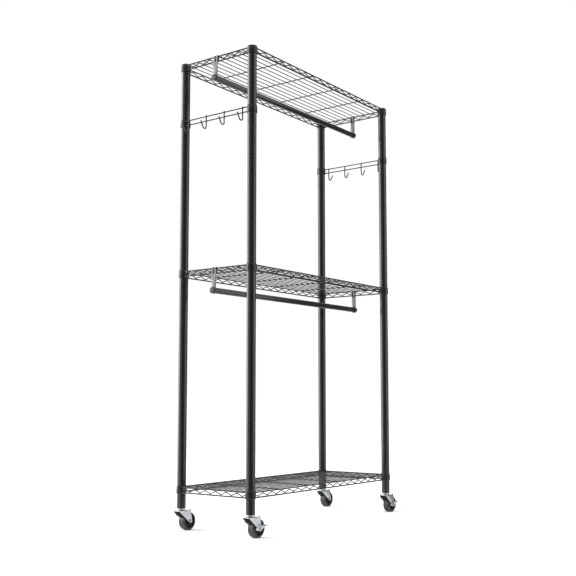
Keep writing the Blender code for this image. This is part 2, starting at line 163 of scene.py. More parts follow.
class Graph:
    """Adds nodes to one node tree."""

    def __init__(self, tree: bpy.types.NodeTree) -> None:
        """Keeps the tree."""
        self.tree = tree

    def add(self, kind: str, options: dict | None = None, values: dict | None = None,
            links: dict | None = None) -> bpy.types.Node:
        """Adds one node with its settings and its incoming links.

        Args:
            kind: the node's type name.
            options: properties of the node itself.
            values: input values, by socket name or number.
            links: output sockets that feed the inputs, by socket name or number.

        Returns:
            The new node.
        """
        node = self.tree.nodes.new(kind)
        for key, value in (options or {}).items():
            setattr(node, key, value)
        for key, value in (values or {}).items():
            node.inputs[key].default_value = value
        for key, output in (links or {}).items():
            self.tree.links.new(output, node.inputs[key])
        return node

    def link(self, output: bpy.types.NodeSocket, socket: bpy.types.NodeSocket) -> None:
        """Links an output to an input."""
        self.tree.links.new(output, socket)


@dataclass(frozen=True)
class Finish:
    """A procedural surface: two tones that drift into each other, a grain and a roughness.

    Attributes:
        name: the real material and process.
        tone: main colour, as an sRGB hex code.
        other_tone: colour that the surface drifts to.
        drift: size of the colour patches, in metres.
        roughness: lowest and highest roughness.
        metallic: 1 for bare metal, 0 for coatings, plastics and rubber.
        ior: index of refraction of the outermost layer.
        specular: strength of the reflection straight on; 0.5 is what the IOR alone gives.
        grain: size of the relief's grains, in metres.
        relief: height of the grain, in metres.
        rough_patch: size of the patches where the roughness changes, in metres.
    """

    name: str
    tone: str
    other_tone: str
    drift: float
    roughness: tuple[float, float]
    metallic: float = 0.0
    ior: float = 1.5
    specular: float = 0.5
    grain: float = 0.0012
    relief: float = 0.00001
    rough_patch: float = 0.02

    def material(self) -> bpy.types.Material:
        """Makes the material, or returns the one that was made before.

        Returns:
            The material.
        """
        known = bpy.data.materials.get(self.name)
        if known:
            return known
        mat = bpy.data.materials.new(self.name)
        mat.use_nodes = True
        mat.diffuse_color = linear(self.tone)
        graph = Graph(mat.node_tree)
        shader = mat.node_tree.nodes["Principled BSDF"]
        shader.inputs["Metallic"].default_value = self.metallic
        shader.inputs["IOR"].default_value = self.ior
        shader.inputs["Specular IOR Level"].default_value = self.specular
        place = graph.add("ShaderNodeTexCoord").outputs["Object"]
        graph.link(self.color(graph, place), shader.inputs["Base Color"])
        graph.link(self.gloss(graph, place), shader.inputs["Roughness"])
        graph.link(self.normal(graph, place), shader.inputs["Normal"])
        self.extras(shader)
        return mat

    def color(self, graph: Graph, place: bpy.types.NodeSocket) -> bpy.types.NodeSocket:
        """Patches of the two tones, drifting over the surface.

        Args:
            graph: the material's nodes.
            place: the point on the surface, in metres.

        Returns:
            The colour.
        """
        patches = graph.add("ShaderNodeTexNoise", values={"Scale": 1 / self.drift, "Detail": 4.0},
                            links={"Vector": place})
        low, high = TONE_EDGES
        spread = graph.add("ShaderNodeMapRange", values={"From Min": low, "From Max": high},
                           links={"Value": patches.outputs["Fac"]})
        return self.blend(graph, spread.outputs["Result"])

    def blend(self, graph: Graph, share: bpy.types.NodeSocket) -> bpy.types.NodeSocket:
        """Mixes the two tones.

        Args:
            graph: the material's nodes.
            share: how much of the other tone to take, from 0 to 1.

        Returns:
            The mixed colour.
        """
        factor, first, second = MIX_INPUTS
        tones = {first: linear(self.tone), second: linear(self.other_tone)}
        mix = graph.add("ShaderNodeMix", {"data_type": "RGBA"}, tones, {factor: share})
        return mix.outputs[MIX_OUTPUT]

    def gloss(self, graph: Graph, place: bpy.types.NodeSocket) -> bpy.types.NodeSocket:
        """Roughness that wanders between its two bounds.

        Args:
            graph: the material's nodes.
            place: the point on the surface, in metres.

        Returns:
            The roughness.
        """
        low, high = self.roughness
        first, last = GLOSS_EDGES
        patches = graph.add("ShaderNodeTexNoise", values={"Scale": 1 / self.rough_patch},
                            links={"Vector": place})
        run = {"From Min": first, "From Max": last, "To Min": low, "To Max": high}
        spread = graph.add("ShaderNodeMapRange", values=run,
                           links={"Value": patches.outputs["Fac"]})
        return spread.outputs["Result"]

    def normal(self, graph: Graph, place: bpy.types.NodeSocket) -> bpy.types.NodeSocket:
        """Relief of the grain.

        Args:
            graph: the material's nodes.
            place: the point on the surface, in metres.

        Returns:
            The normal with the relief in it.
        """
        grain = graph.add("ShaderNodeTexNoise", values={"Scale": 1 / self.grain, "Detail": 2.0},
                          links={"Vector": place})
        bump = graph.add("ShaderNodeBump", values={"Distance": self.relief},
                         links={"Height": grain.outputs["Fac"]})
        return bump.outputs["Normal"]

    def extras(self, shader: bpy.types.Node) -> None:
        """Sets what this kind of finish adds to the shader; a plain finish adds nothing."""


@dataclass(frozen=True)
class PowderCoat(Finish):
    """Powder coating on steel: a hard skin with a faint orange peel under a clearer top layer.

    Attributes:
        topcoat: strength of the top layer's reflection.
        topcoat_roughness: its roughness.
    """

    topcoat: float = 0.08
    topcoat_roughness: float = 0.12

    def extras(self, shader: bpy.types.Node) -> None:
        """Adds the clearer top layer."""
        shader.inputs["Coat Weight"].default_value = self.topcoat
        shader.inputs["Coat Roughness"].default_value = self.topcoat_roughness


@dataclass(frozen=True)
class ZincPlate(Finish):
    """Electroplated zinc on steel: small crystals turn the tone from patch to patch.

    Attributes:
        crystal: width of a crystal, drawn a little coarser than life so that it shows.
    """

    crystal: float = 0.0024

    def color(self, graph: Graph, place: bpy.types.NodeSocket) -> bpy.types.NodeSocket:
        """Crystals in shades between the two tones.

        Args:
            graph: the material's nodes.
            place: the point on the surface, in metres.

        Returns:
            The colour.
        """
        cells = graph.add("ShaderNodeTexVoronoi", values={"Scale": 1 / self.crystal},
                          links={"Vector": place})
        return self.blend(graph, cells.outputs["Distance"])


# Black epoxy powder on rolled tube: glossy enough for a crisp bright edge along each post.
POST_COAT = PowderCoat("steel_tube_epoxy_powder_coated_black", "0b0b0c", "101011", 0.16,
                       (0.20, 0.27), grain=0.0018, relief=0.000010)
# Black epoxy powder on drawn wire: a little thinner and duller than on the tube.
WIRE_COAT = PowderCoat("drawn_wire_epoxy_powder_coated_black", "0c0c0d", "131314", 0.09,
                       (0.26, 0.36), specular=0.3, grain=0.0011, relief=0.000010)
# The same coating on the hanging rods, a touch smoother than on the wire.
ROD_COAT = PowderCoat("rod_tube_epoxy_powder_coated_black", "0a0a0b", "101011", 0.12,
                      (0.22, 0.32), grain=0.0015, relief=0.000010)
# Coated strip steel: its black coat is drawn as a mid grey, a painted reflection of the side light
# on the flat faces.
STRAP_COAT_PAINTED_REFLECTION = PowderCoat("strip_steel_epoxy_powder_coated_black", "545457", "606063", 0.05,
                        (0.34, 0.44), grain=0.0010, relief=0.000012)
# Injection-moulded polypropylene: a soft sheen over a fine spark-eroded grain.
MOULDED_PLASTIC = Finish("polypropylene_injection_moulded_black", "0d0d0e", "141415", 0.03,
                         (0.42, 0.55), ior=1.49, grain=0.0004, relief=0.000009, rough_patch=0.006)
# Injection-moulded nylon of the toe guards: dull enough that only the lip's curve catches light.
GUARD_PLASTIC = Finish("nylon_injection_moulded_black", "060607", "0b0b0c", 0.02, (0.50, 0.62),
                       ior=1.53, specular=0.2, grain=0.0005, relief=0.000012, rough_patch=0.006)
# Softer moulded caps: nearly matt, so that their flat faces read as dark grey.
CAP_PLASTIC = Finish("polyethylene_injection_moulded_black", "131314", "1b1b1c", 0.02,
                     (0.38, 0.50), ior=1.51, grain=0.0005, relief=0.000010, rough_patch=0.006)
# Injection-moulded polyamide hub: its own black, darkened further to the black of the tyre's
# shadow as painted shade in the recess, with a slight sheen.
HUB_PLASTIC_WITH_PAINTED_SHADE = Finish("polyamide_injection_moulded_black", "060607", "0a0a0b", 0.02, (0.40, 0.52),
                     ior=1.53, specular=0.2, grain=0.0005, relief=0.000008, rough_patch=0.006)
# Moulded thermoplastic rubber: matt and dusty, drifting in patches to a shade lighter.
TYRE_RUBBER = Finish("thermoplastic_rubber_moulded_black", "181819", "282829", 0.012,
                     (0.30, 0.46), ior=1.52, grain=0.0006, relief=0.000030, rough_patch=0.008)
# Bright zinc plate on pressed steel: pale, slightly blue, with soft reflections.
ZINC = ZincPlate("pressed_steel_zinc_plated_bright", "bfc1c4", "a9acb0", 0.01,
                 (0.24, 0.36), metallic=1.0, grain=0.0009, relief=0.000008,
                 rough_patch=0.007)
# Turned steel that was zinc plated in bulk: a shade darker, with smoother lands.
ZINC_TURNED = ZincPlate("turned_steel_zinc_plated", "b8babd", "9da0a4", 0.01,
                        (0.18, 0.30), metallic=1.0, grain=0.0006, relief=0.000005,
                        rough_patch=0.005)


# ---------------------------------------------------------------- shapes


def arc(centre: Point2, radius: float, start: float, end: float, steps: int) -> list[Point2]:
    """Points along an arc.

    Args:
        centre: the arc's centre.
        radius: its radius.
        start: first angle in degrees, from the first axis towards the second.
        end: last angle in degrees.
        steps: number of chords.

    Returns:
        steps + 1 points.
    """
    turns = [math.radians(start + (end - start) * k / steps) for k in range(steps + 1)]
    return [(centre[0] + radius * math.cos(t), centre[1] + radius * math.sin(t)) for t in turns]


def rounded(points: Sequence[Point2], radius: float, steps: int = 4,
            closed: bool = False) -> list[Point2]:
    """Rounds the corners of a path or outline.

    Args:
        points: the corners.
        radius: bend radius, cut down where a corner has no room for it.
        steps: chords in each bend.
        closed: whether the last point joins the first.

    Returns:
        The path with an arc in place of each corner.
    """
    corners = [Vector(p) for p in points]
    count = len(corners)
    out: list[Point2] = []
    for k, corner in enumerate(corners):
        if not closed and k in (0, count - 1):
            out.append(tuple(corner))
            continue
        back = corners[k - 1] - corner
        on = corners[(k + 1) % count] - corner
        half = back.angle(on) / 2
        if half > NEARLY_STRAIGHT:
            out.append(tuple(corner))
            continue
        reach = min(radius / math.tan(half), MOST_REACH * back.length, MOST_REACH * on.length)
        first = corner + back.normalized() * reach
        last = corner + on.normalized() * reach
        bend = reach * math.tan(half)
        middle = corner + (back.normalized() + on.normalized()).normalized() * (
            math.hypot(reach, bend))
        sweep = (first - middle).angle_signed(last - middle)
        for step in range(steps + 1):
            turn = Matrix.Rotation(-sweep * step / steps, 2)
            out.append(tuple(middle + turn @ (first - middle)))
    return out


def circle(radius: float, sides: int) -> list[Point2]:
    """A round section."""
    turns = [2 * math.pi * k / sides for k in range(sides)]
    return [(radius * math.cos(t), radius * math.sin(t)) for t in turns]


def bar(width: float, thick: float, edge: float) -> list[Point2]:
    """A flat section with rounded edges."""
    half, low = width / 2, thick / 2
    return rounded([(half, low), (-half, low), (-half, -low), (half, -low)], edge, 3, closed=True)


@dataclass
class Shape:
    """A mesh under construction, made of closed shells that may meet each other.

    Attributes:
        points: vertices.
        faces: vertex numbers of each face.
        paints: material number of each face.
    """

    points: list[Vector] = field(default_factory=list)
    faces: list[tuple[int, ...]] = field(default_factory=list)
    paints: list[int] = field(default_factory=list)

    def rings(self, rings: Sequence[Sequence[Vector]], loop: bool, paint: int = 0) -> None:
        """Joins rings of points into a skin, and closes its ends unless the rings form a loop.

        Args:
            rings: points of each ring, in order.
            loop: whether the last ring joins the first.
            paint: material number.
        """
        size = len(rings[0])
        first = len(self.points)
        for ring in rings:
            self.points.extend(ring)
        count = len(rings)
        for k in range(count if loop else count - 1):
            low, high = first + k * size, first + (k + 1) % count * size
            for j in range(size):
                on = (j + 1) % size
                self.faces.append((low + j, low + on, high + on, high + j))
                self.paints.append(paint)
        if not loop:
            self.faces.append(tuple(first + j for j in reversed(range(size))))
            self.faces.append(tuple(first + (count - 1) * size + j for j in range(size)))
            self.paints.extend((paint, paint))

    def sweep(self, path: Sequence[Point3], section: Sequence[Point2], side: Point3,
              soften: float = 0.0, paint: int = 0) -> None:
        """Runs a section along a flat path.

        Args:
            path: points of the path, all in one plane.
            section: outline of the section, with its first axis along `side`.
            side: direction square to the path's plane.
            soften: how far the two ends are chamfered.
            paint: material number.
        """
        spots = [Vector(p) for p in path]
        across = Vector(side).normalized()
        heads = [(b - a).normalized() for a, b in zip(spots, spots[1:])]
        ways = [heads[0]]
        ways += [(a + b).normalized() for a, b in zip(heads, heads[1:])]
        ways.append(heads[-1])
        rings = []
        for k, (spot, way) in enumerate(zip(spots, ways)):
            up = way.cross(across)
            ring = [spot + across * a + up * b for a, b in section]
            if soften and k in (0, len(spots) - 1):
                sign = 1 if k == 0 else -1
                size = max(math.hypot(a, b) for a, b in section)
                small = [spot + (p - spot) * (1 - soften / size) for p in ring]
                shifted = [p + way * sign * soften for p in ring]
                rings += [small, shifted] if k == 0 else [shifted, small]
            else:
                rings.append(ring)
        self.rings(rings, loop=False, paint=paint)

    def rod(self, path: Sequence[Point3], radius: float, side: Point3, sides: int = 14) -> None:
        """Runs a round wire along a flat path, with slightly rounded ends."""
        self.sweep(path, circle(radius, sides), side, soften=radius * CUT_END)

    def turn(self, profile: Sequence[Point2], sides: int, axis: Axis = Axis.Z,
             centre: Point3 = (0.0, 0.0, 0.0), span: tuple[float, float] = (0.0, 360.0),
             paint: int = 0) -> None:
        """Turns a closed profile about an axis.

        Args:
            profile: outline as (radius, distance along the axis); its last point joins its first.
            sides: number of steps.
            axis: the axis that it turns about.
            centre: point on the axis that distances are taken from.
            span: first and last angle, in degrees.
            paint: material number.
        """
        whole = span[1] - span[0] >= 360
        base = Vector(centre)
        steps = sides if whole else sides + 1
        rings = []
        for k in range(steps):
            angle = math.radians(span[0] + (span[1] - span[0]) * k / sides)
            one, two = math.cos(angle), math.sin(angle)
            ring = []
            for radius, along in profile:
                flat = [radius * one, radius * two]
                flat.insert(axis.value, along)
                ring.append(base + Vector(flat))
            rings.append(ring)
        self.rings(rings, loop=whole, paint=paint)

    def nugget(self, centre: Point3, radii: Point3, sides: int = 8, tiers: int = 4) -> None:
        """Adds a small rounded bead, such as a weld.

        Args:
            centre: its middle.
            radii: its half sizes along X, Y and Z.
            sides: number of steps round it.
            tiers: number of rings from its foot to its top.
        """
        base, size = Vector(centre), Vector(radii)
        rows = []
        for k in range(1, tiers + 1):
            polar = math.pi * k / (tiers + 1)
            ring = [
                base + Vector((size.x * math.sin(polar) * a, size.y * math.sin(polar) * b,
                               size.z * math.cos(polar)))
                for a, b in circle(1.0, sides)
            ]
            rows.append(ring)
        self.rings(rows, loop=False)

    def take(self, mesh: bpy.types.Mesh, turn: Matrix | None = None, paint: int = 0) -> None:
        """Takes in a finished mesh, turned and placed, and frees it.

        Args:
            mesh: the mesh.
            turn: how it is turned and placed; as it is if left out.
            paint: material number.
        """
        if turn:
            mesh.transform(turn)
        first = len(self.points)
        self.points.extend(v.co.copy() for v in mesh.vertices)
        for face in mesh.polygons:
            self.faces.append(tuple(first + k for k in face.vertices))
            self.paints.append(paint)
        bpy.data.meshes.remove(mesh)

    def mesh(self, name: str) -> bpy.types.Mesh:
        """Makes the mesh: faces pointing out, smooth except along its real edges.

        Args:
            name: the mesh's name.

        Returns:
            The mesh.
        """
        mesh = bpy.data.meshes.new(name)
        mesh.from_pydata([tuple(p) for p in self.points], [], self.faces)
        mesh.polygons.foreach_set("material_index", self.paints)
        work = bmesh.new()
        work.from_mesh(mesh)
        bmesh.ops.remove_doubles(work, verts=work.verts, dist=SAME_POINT)
        bmesh.ops.recalc_face_normals(work, faces=work.faces)
        work.to_mesh(mesh)
        work.free()
        mesh.shade_smooth()
        mesh.set_sharp_from_angle(angle=SMOOTH_BELOW)
        return mesh


def evaluated(data: bpy.types.ID, modifiers: Iterable[tuple[str, dict]] = ()) -> bpy.types.Mesh:
    """Turns a curve, or a mesh under modifiers, into a plain mesh.

    Args:
        data: the curve or mesh.
        modifiers: type and settings of each modifier, in order.

    Returns:
        The resulting mesh.
    """
    holder = bpy.data.objects.new("work", data)
    bpy.context.scene.collection.objects.link(holder)
    for kind, settings in modifiers:
        modifier = holder.modifiers.new(kind, kind)
        for key, value in settings.items():
            setattr(modifier, key, value)
    graph = bpy.context.evaluated_depsgraph_get()
    mesh = bpy.data.meshes.new_from_object(holder.evaluated_get(graph))
    bpy.data.objects.remove(holder, do_unlink=True)
    return mesh


def plate(outlines: Sequence[Sequence[Point2]], thick: float, edge: float,
          facets: int = 2) -> bpy.types.Mesh:
    """A flat plate in the XY plane with rounded edges.

    Args:
        outlines: the outer outline, then the outlines of its holes.
        thick: thickness, half of it on each side of the plane.
        edge: radius of the rounded edges.
        facets: chords in the edges' rounding.

    Returns:
        The plate's mesh.
    """
    curve = bpy.data.curves.new("plate", "CURVE")
    curve.dimensions = "2D"
    curve.fill_mode = "BOTH"
    curve.extrude = thick / 2 - edge
    curve.bevel_depth = edge
    curve.bevel_resolution = facets - 1
    curve.offset = -edge
    for outline in outlines:
        spline = curve.splines.new("POLY")
        spline.points.add(len(outline) - 1)
        for point, (x, y) in zip(spline.points, outline):
            point.co = (x, y, 0.0, 1.0)
        spline.use_cyclic_u = True
    return evaluated(curve)


def block(outline: Sequence[Point2], low: float, high: float) -> bpy.types.Mesh:
    """A prism over an outline in the XY plane, from height low to high.

    Args:
        outline: corners of the outline.
        low: height of the lower face.
        high: height of the upper face.

    Returns:
        The prism's mesh.
    """
    shape = Shape()
    rings = [[Vector((x, y, z)) for x, y in outline] for z in (low, high)]
    shape.rings(rings, loop=False)
    return shape.mesh("block")


def boolean(base: bpy.types.Mesh, tool: bpy.types.Mesh, operation: str) -> bpy.types.Mesh:
    """Cuts or joins two closed meshes.

    Args:
        base: the mesh to change.
        tool: the mesh that cuts or joins it.
        operation: "INTERSECT", "DIFFERENCE" or "UNION".

    Returns:
        The resulting mesh.
    """
    cutter = bpy.data.objects.new("cutter", tool)
    settings = {"operation": operation, "solver": "EXACT", "object": cutter}
    mesh = evaluated(base, [("BOOLEAN", settings)])
    bpy.data.objects.remove(cutter, do_unlink=True)
    return mesh


# Turns a plate drawn in (X, Z) upright, so that its thickness lies along Y.
UPRIGHT_XZ = Matrix(((1, 0, 0, 0), (0, 0, -1, 0), (0, 1, 0, 0), (0, 0, 0, 1)))
# Turns a plate drawn in (Y, Z) upright, so that its thickness lies along X.
UPRIGHT_YZ = Matrix(((0, 0, 1, 0), (1, 0, 0, 0), (0, 1, 0, 0), (0, 0, 0, 1)))


# ---------------------------------------------------------------- the rack's plan


@dataclass(frozen=True)
class RackPlan:
    """Places and sizes that the sub-assemblies share.

    Attributes:
        length: between post axes along X.
        depth: between post axes along Y.
        post_radius: outside radius of the posts.
        post_bottom: lower end of the posts.
        post_top: upper end of the posts with their caps.
        frame_outset: how far outside the post axes the frame wires run.
        frame_wire: radius of the frame wires.
        truss: upper to lower frame wire.
        origin: middle between the posts, on the floor.
    """

    length: float = 1.048
    depth: float = 0.372
    post_radius: float = 0.01905
    post_bottom: float = 0.094
    post_top: float = 2.008
    frame_outset: float = 0.013
    frame_wire: float = 0.0031
    truss: float = 0.021
    origin: Vector = field(default_factory=lambda: Vector((0, 0, 0)))

    @classmethod
    def from_frame(cls) -> RackPlan:
        """Takes the middle of the rack from the boxes of its posts.

        Returns:
            The plan.
        """
        total = Vector((0, 0, 0))
        for corner in Corner:
            low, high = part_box(f"post_{corner.word}")
            total += (Vector(low) + Vector(high)) / 2
        total /= len(Corner)
        return cls(origin=Vector((total.x, total.y, 0)))

    @property
    def frame_x(self) -> float:
        """Distance of the short sides' frame wires from the middle."""
        return self.length / 2 + self.frame_outset

    @property
    def frame_y(self) -> float:
        """Distance of the long sides' frame wires from the middle."""
        return self.depth / 2 + self.frame_outset

    def post(self, corner: Corner) -> Vector:
        """The foot of a post's axis on the floor, in the world."""
        x, y = corner.value
        return self.origin + Vector((x * self.length / 2, y * self.depth / 2, 0))

    def put(self, name: str, mesh: bpy.types.Mesh, finishes: Sequence[Finish], body: str,
            nodes: Sequence[str] = (), place: Vector | None = None) -> None:
        """Puts one dressed piece in the scene.

        Args:
            name: the piece's name.
            mesh: its mesh, from the rack's middle or from `place`.
            finishes: its finishes, in the order of the mesh's material numbers.
            body: the moving body that it belongs to.
            nodes: construction pieces that it stands for.
            place: where the mesh's zero point goes; the rack's middle if left out.
        """
        for finish in finishes:
            mesh.materials.append(finish.material())
        piece = bpy.data.objects.new(name, mesh)
        bpy.context.scene.collection.objects.link(piece)
        piece.location = self.origin if place is None else place
        bpy.context.view_layer.update()
        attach(piece, body)
        if nodes:
            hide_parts(*nodes)
        LOG.info("%-28s %6d faces on %s", name, len(mesh.polygons), body)


# ---------------------------------------------------------------- posts


@dataclass(frozen=True)
class Posts:
    """Four ringed steel tubes with their top caps.

    Attributes:
        wall: thickness of the tube.
        ring_pitch: between the rolled rings.
        ring_phase: height of the first ring above the floor.
        ring_width: width of a ring.
        ring_depth: depth of a ring.
        ring_form: section of a ring, as (place across it, depth) from -1 to 1 and 0 to 1.
        joint: height where the two lengths of a post screw together.
        joint_depth: how much deeper the ring there is.
        ease: chamfer of the tube's ends.
        plain_ends: lengths without rings at the lower and upper end.
        cap_rise: height of the cap's rim.
        cap_edge: height and radius of the cap's rounded edge.
        crown: the cap's top, as (distance in from the rim, height).
        crown_top: height of its middle.
        plug_air: between the cap's plug and the tube.
        plug: depth of the plug, depth where it starts to taper, and the taper.
        sides: steps round the tube.
    """

    wall: float = 0.0012
    ring_pitch: float = 0.0254
    ring_phase: float = 0.0192
    ring_width: float = 0.0013
    ring_depth: float = 0.0008
    ring_form: tuple[Point2, ...] = ((-1.0, 0.0), (-0.75, 0.85), (-0.4, 1.0), (0.4, 1.0),
                                     (0.75, 0.85), (1.0, 0.0))
    joint: float = 1.2638
    joint_depth: float = 1.15
    ease: float = 0.0005
    plain_ends: Point2 = (0.004, 0.003)
    cap_rise: float = 0.0022
    cap_edge: Point2 = (0.0012, 0.0010)
    crown: tuple[Point2, ...] = ((0.0040, 0.0026), (0.0100, 0.0031))
    crown_top: float = 0.0033
    plug_air: float = 0.0003
    plug: Point3 = (0.012, 0.010, 0.001)
    sides: int = 40

    def tube_mesh(self, plan: RackPlan) -> bpy.types.Mesh:
        """The tube, with a rolled ring every inch and a seam at the joint.

        Args:
            plan: places and sizes that the sub-assemblies share.

        Returns:
            The tube's mesh, from its foot's axis on the floor.
        """
        outer = plan.post_radius
        inner = outer - self.wall
        top = plan.post_top - self.cap_rise
        low = plan.post_bottom
        ease = self.ease
        first, last = low + self.plain_ends[0], top - self.plain_ends[1]
        profile = [(inner, low), (outer - ease, low), (outer, low + ease)]
        count = int((top - self.ring_phase) / self.ring_pitch) + 1
        for k in range(count):
            height = self.ring_phase + k * self.ring_pitch
            if not first < height < last:
                continue
            at_joint = abs(height - self.joint) < self.ring_pitch / 2
            depth = self.ring_depth * (self.joint_depth if at_joint else 1.0)
            for step, part in self.ring_form:
                profile.append((outer - part * depth, height + step * self.ring_width / 2))
        profile += [(outer, top - ease), (outer - ease, top), (inner, top)]
        shape = Shape()
        shape.turn(profile, self.sides)
        return shape.mesh("ringed_tube")

    def cap_mesh(self, plan: RackPlan) -> bpy.types.Mesh:
        """The cap: a shallow dome with a rounded rim, and a plug inside the tube.

        Args:
            plan: places and sizes that the sub-assemblies share.

        Returns:
            The cap's mesh, from the post's foot.
        """
        base = plan.post_top - self.cap_rise
        rim = plan.post_radius
        plug = plan.post_radius - self.wall - self.plug_air
        edge, bend = self.cap_edge
        deep, straight, taper = self.plug
        crown = [(rim, base), (rim, base + edge)]
        crown += arc((rim - bend, base + edge), bend, 0, 90, 4)
        crown += [(rim - inward, base + rise) for inward, rise in self.crown]
        crown.append((0.0, base + self.crown_top))
        profile = [(0.0, base - deep), (plug - taper, base - deep), (plug, base - straight),
                   (plug, base)]
        shape = Shape()
        shape.turn(profile + crown, self.sides)
        return shape.mesh("post_cap")

    def build(self, plan: RackPlan) -> None:
        """Puts the four posts and their caps in place.

        Args:
            plan: places and sizes that the sub-assemblies share.
        """
        for corner in Corner:
            place = plan.post(corner)
            plan.put(f"ringed_post_{corner.word}", self.tube_mesh(plan), [POST_COAT], FRAME_BODY,
                     [f"post_{corner.word}"], place)
            plan.put(f"post_cap_{corner.word}", self.cap_mesh(plan), [CAP_PLASTIC], FRAME_BODY,
                     place=place)


# ---------------------------------------------------------------- collars and sleeves


@dataclass(frozen=True)
class Collar:
    """A tapered steel collar and the split plastic sleeve that wedges it on its post.

    Attributes:
        below: how far the collar reaches below the lower wire.
        above: how far the collar reaches above the upper wire.
        radii: outside of the collar at its lower and upper rim.
        sleeve_below: how far the sleeve reaches below the lower wire.
        sleeve_above: how far the sleeve reaches above the upper wire.
        sleeve_radii: outside of the sleeve at its lower and upper end.
        air: clearance between post, sleeve and collar.
        split: angle of the gap between the two halves of the sleeve, in degrees.
        rim: radius of the collar's rounded rims.
        bead: how far the sleeve's grip bead stands out.
        bead_below: where the bead starts and is full, from the sleeve's top.
        sleeve_edge: radius of the sleeve's rounded ends.
        sides: steps round the post.
    """

    below: float = 0.0035
    above: float = 0.0032
    radii: Point2 = (0.0222, 0.0216)
    sleeve_below: float = 0.0050
    sleeve_above: float = 0.0080
    sleeve_radii: Point2 = (0.0206, 0.0201)
    air: float = 0.0003
    split: float = 3.0
    rim: float = 0.0006
    bead: float = 0.0004
    bead_below: Point2 = (0.0024, 0.0014)
    sleeve_edge: float = 0.0004
    sides: int = 48

    def add_ring(self, shape: Shape, axis: Point2, upper: float, lower: float) -> None:
        """Adds the steel collar round one post axis.

        Args:
            shape: the mesh to add to.
            axis: the post axis, as (X, Y).
            upper: height of the upper wire.
            lower: height of the lower wire.
        """
        bottom, top = lower - self.below, upper + self.above
        inside = (self.sleeve_radii[0] + self.air, self.sleeve_radii[1] + self.air)
        corners = [(self.radii[0], bottom), (self.radii[1], top), (inside[1], top),
                   (inside[0], bottom)]
        profile = rounded(corners, self.rim, 3, closed=True)
        shape.turn(profile, self.sides, centre=(*axis, 0.0))

    def sleeve_mesh(self, upper: float, lower: float, post_radius: float) -> bpy.types.Mesh:
        """The sleeve: two half shells with rounded ends and a small grip bead on top.

        Args:
            upper: height of the upper wire.
            lower: height of the lower wire.
            post_radius: outside radius of the post.

        Returns:
            The sleeve's mesh, from the post's foot.
        """
        bottom, top = lower - self.sleeve_below, upper + self.sleeve_above
        bore = post_radius + self.air
        wide, narrow = self.sleeve_radii
        start, full = self.bead_below
        bead = narrow + self.bead
        corners = [(wide, bottom), (narrow, top - start), (bead, top - full), (bead, top),
                   (bore, top), (bore, bottom)]
        profile = rounded(corners, self.sleeve_edge, 3, closed=True)
        shape = Shape()
        for turn in (0.0, 180.0):
            shape.turn(profile, self.sides // 2,
                       span=(turn + self.split / 2, turn + 180 - self.split / 2))
        return shape.mesh("split_sleeve")


# ---------------------------------------------------------------- wire shelves


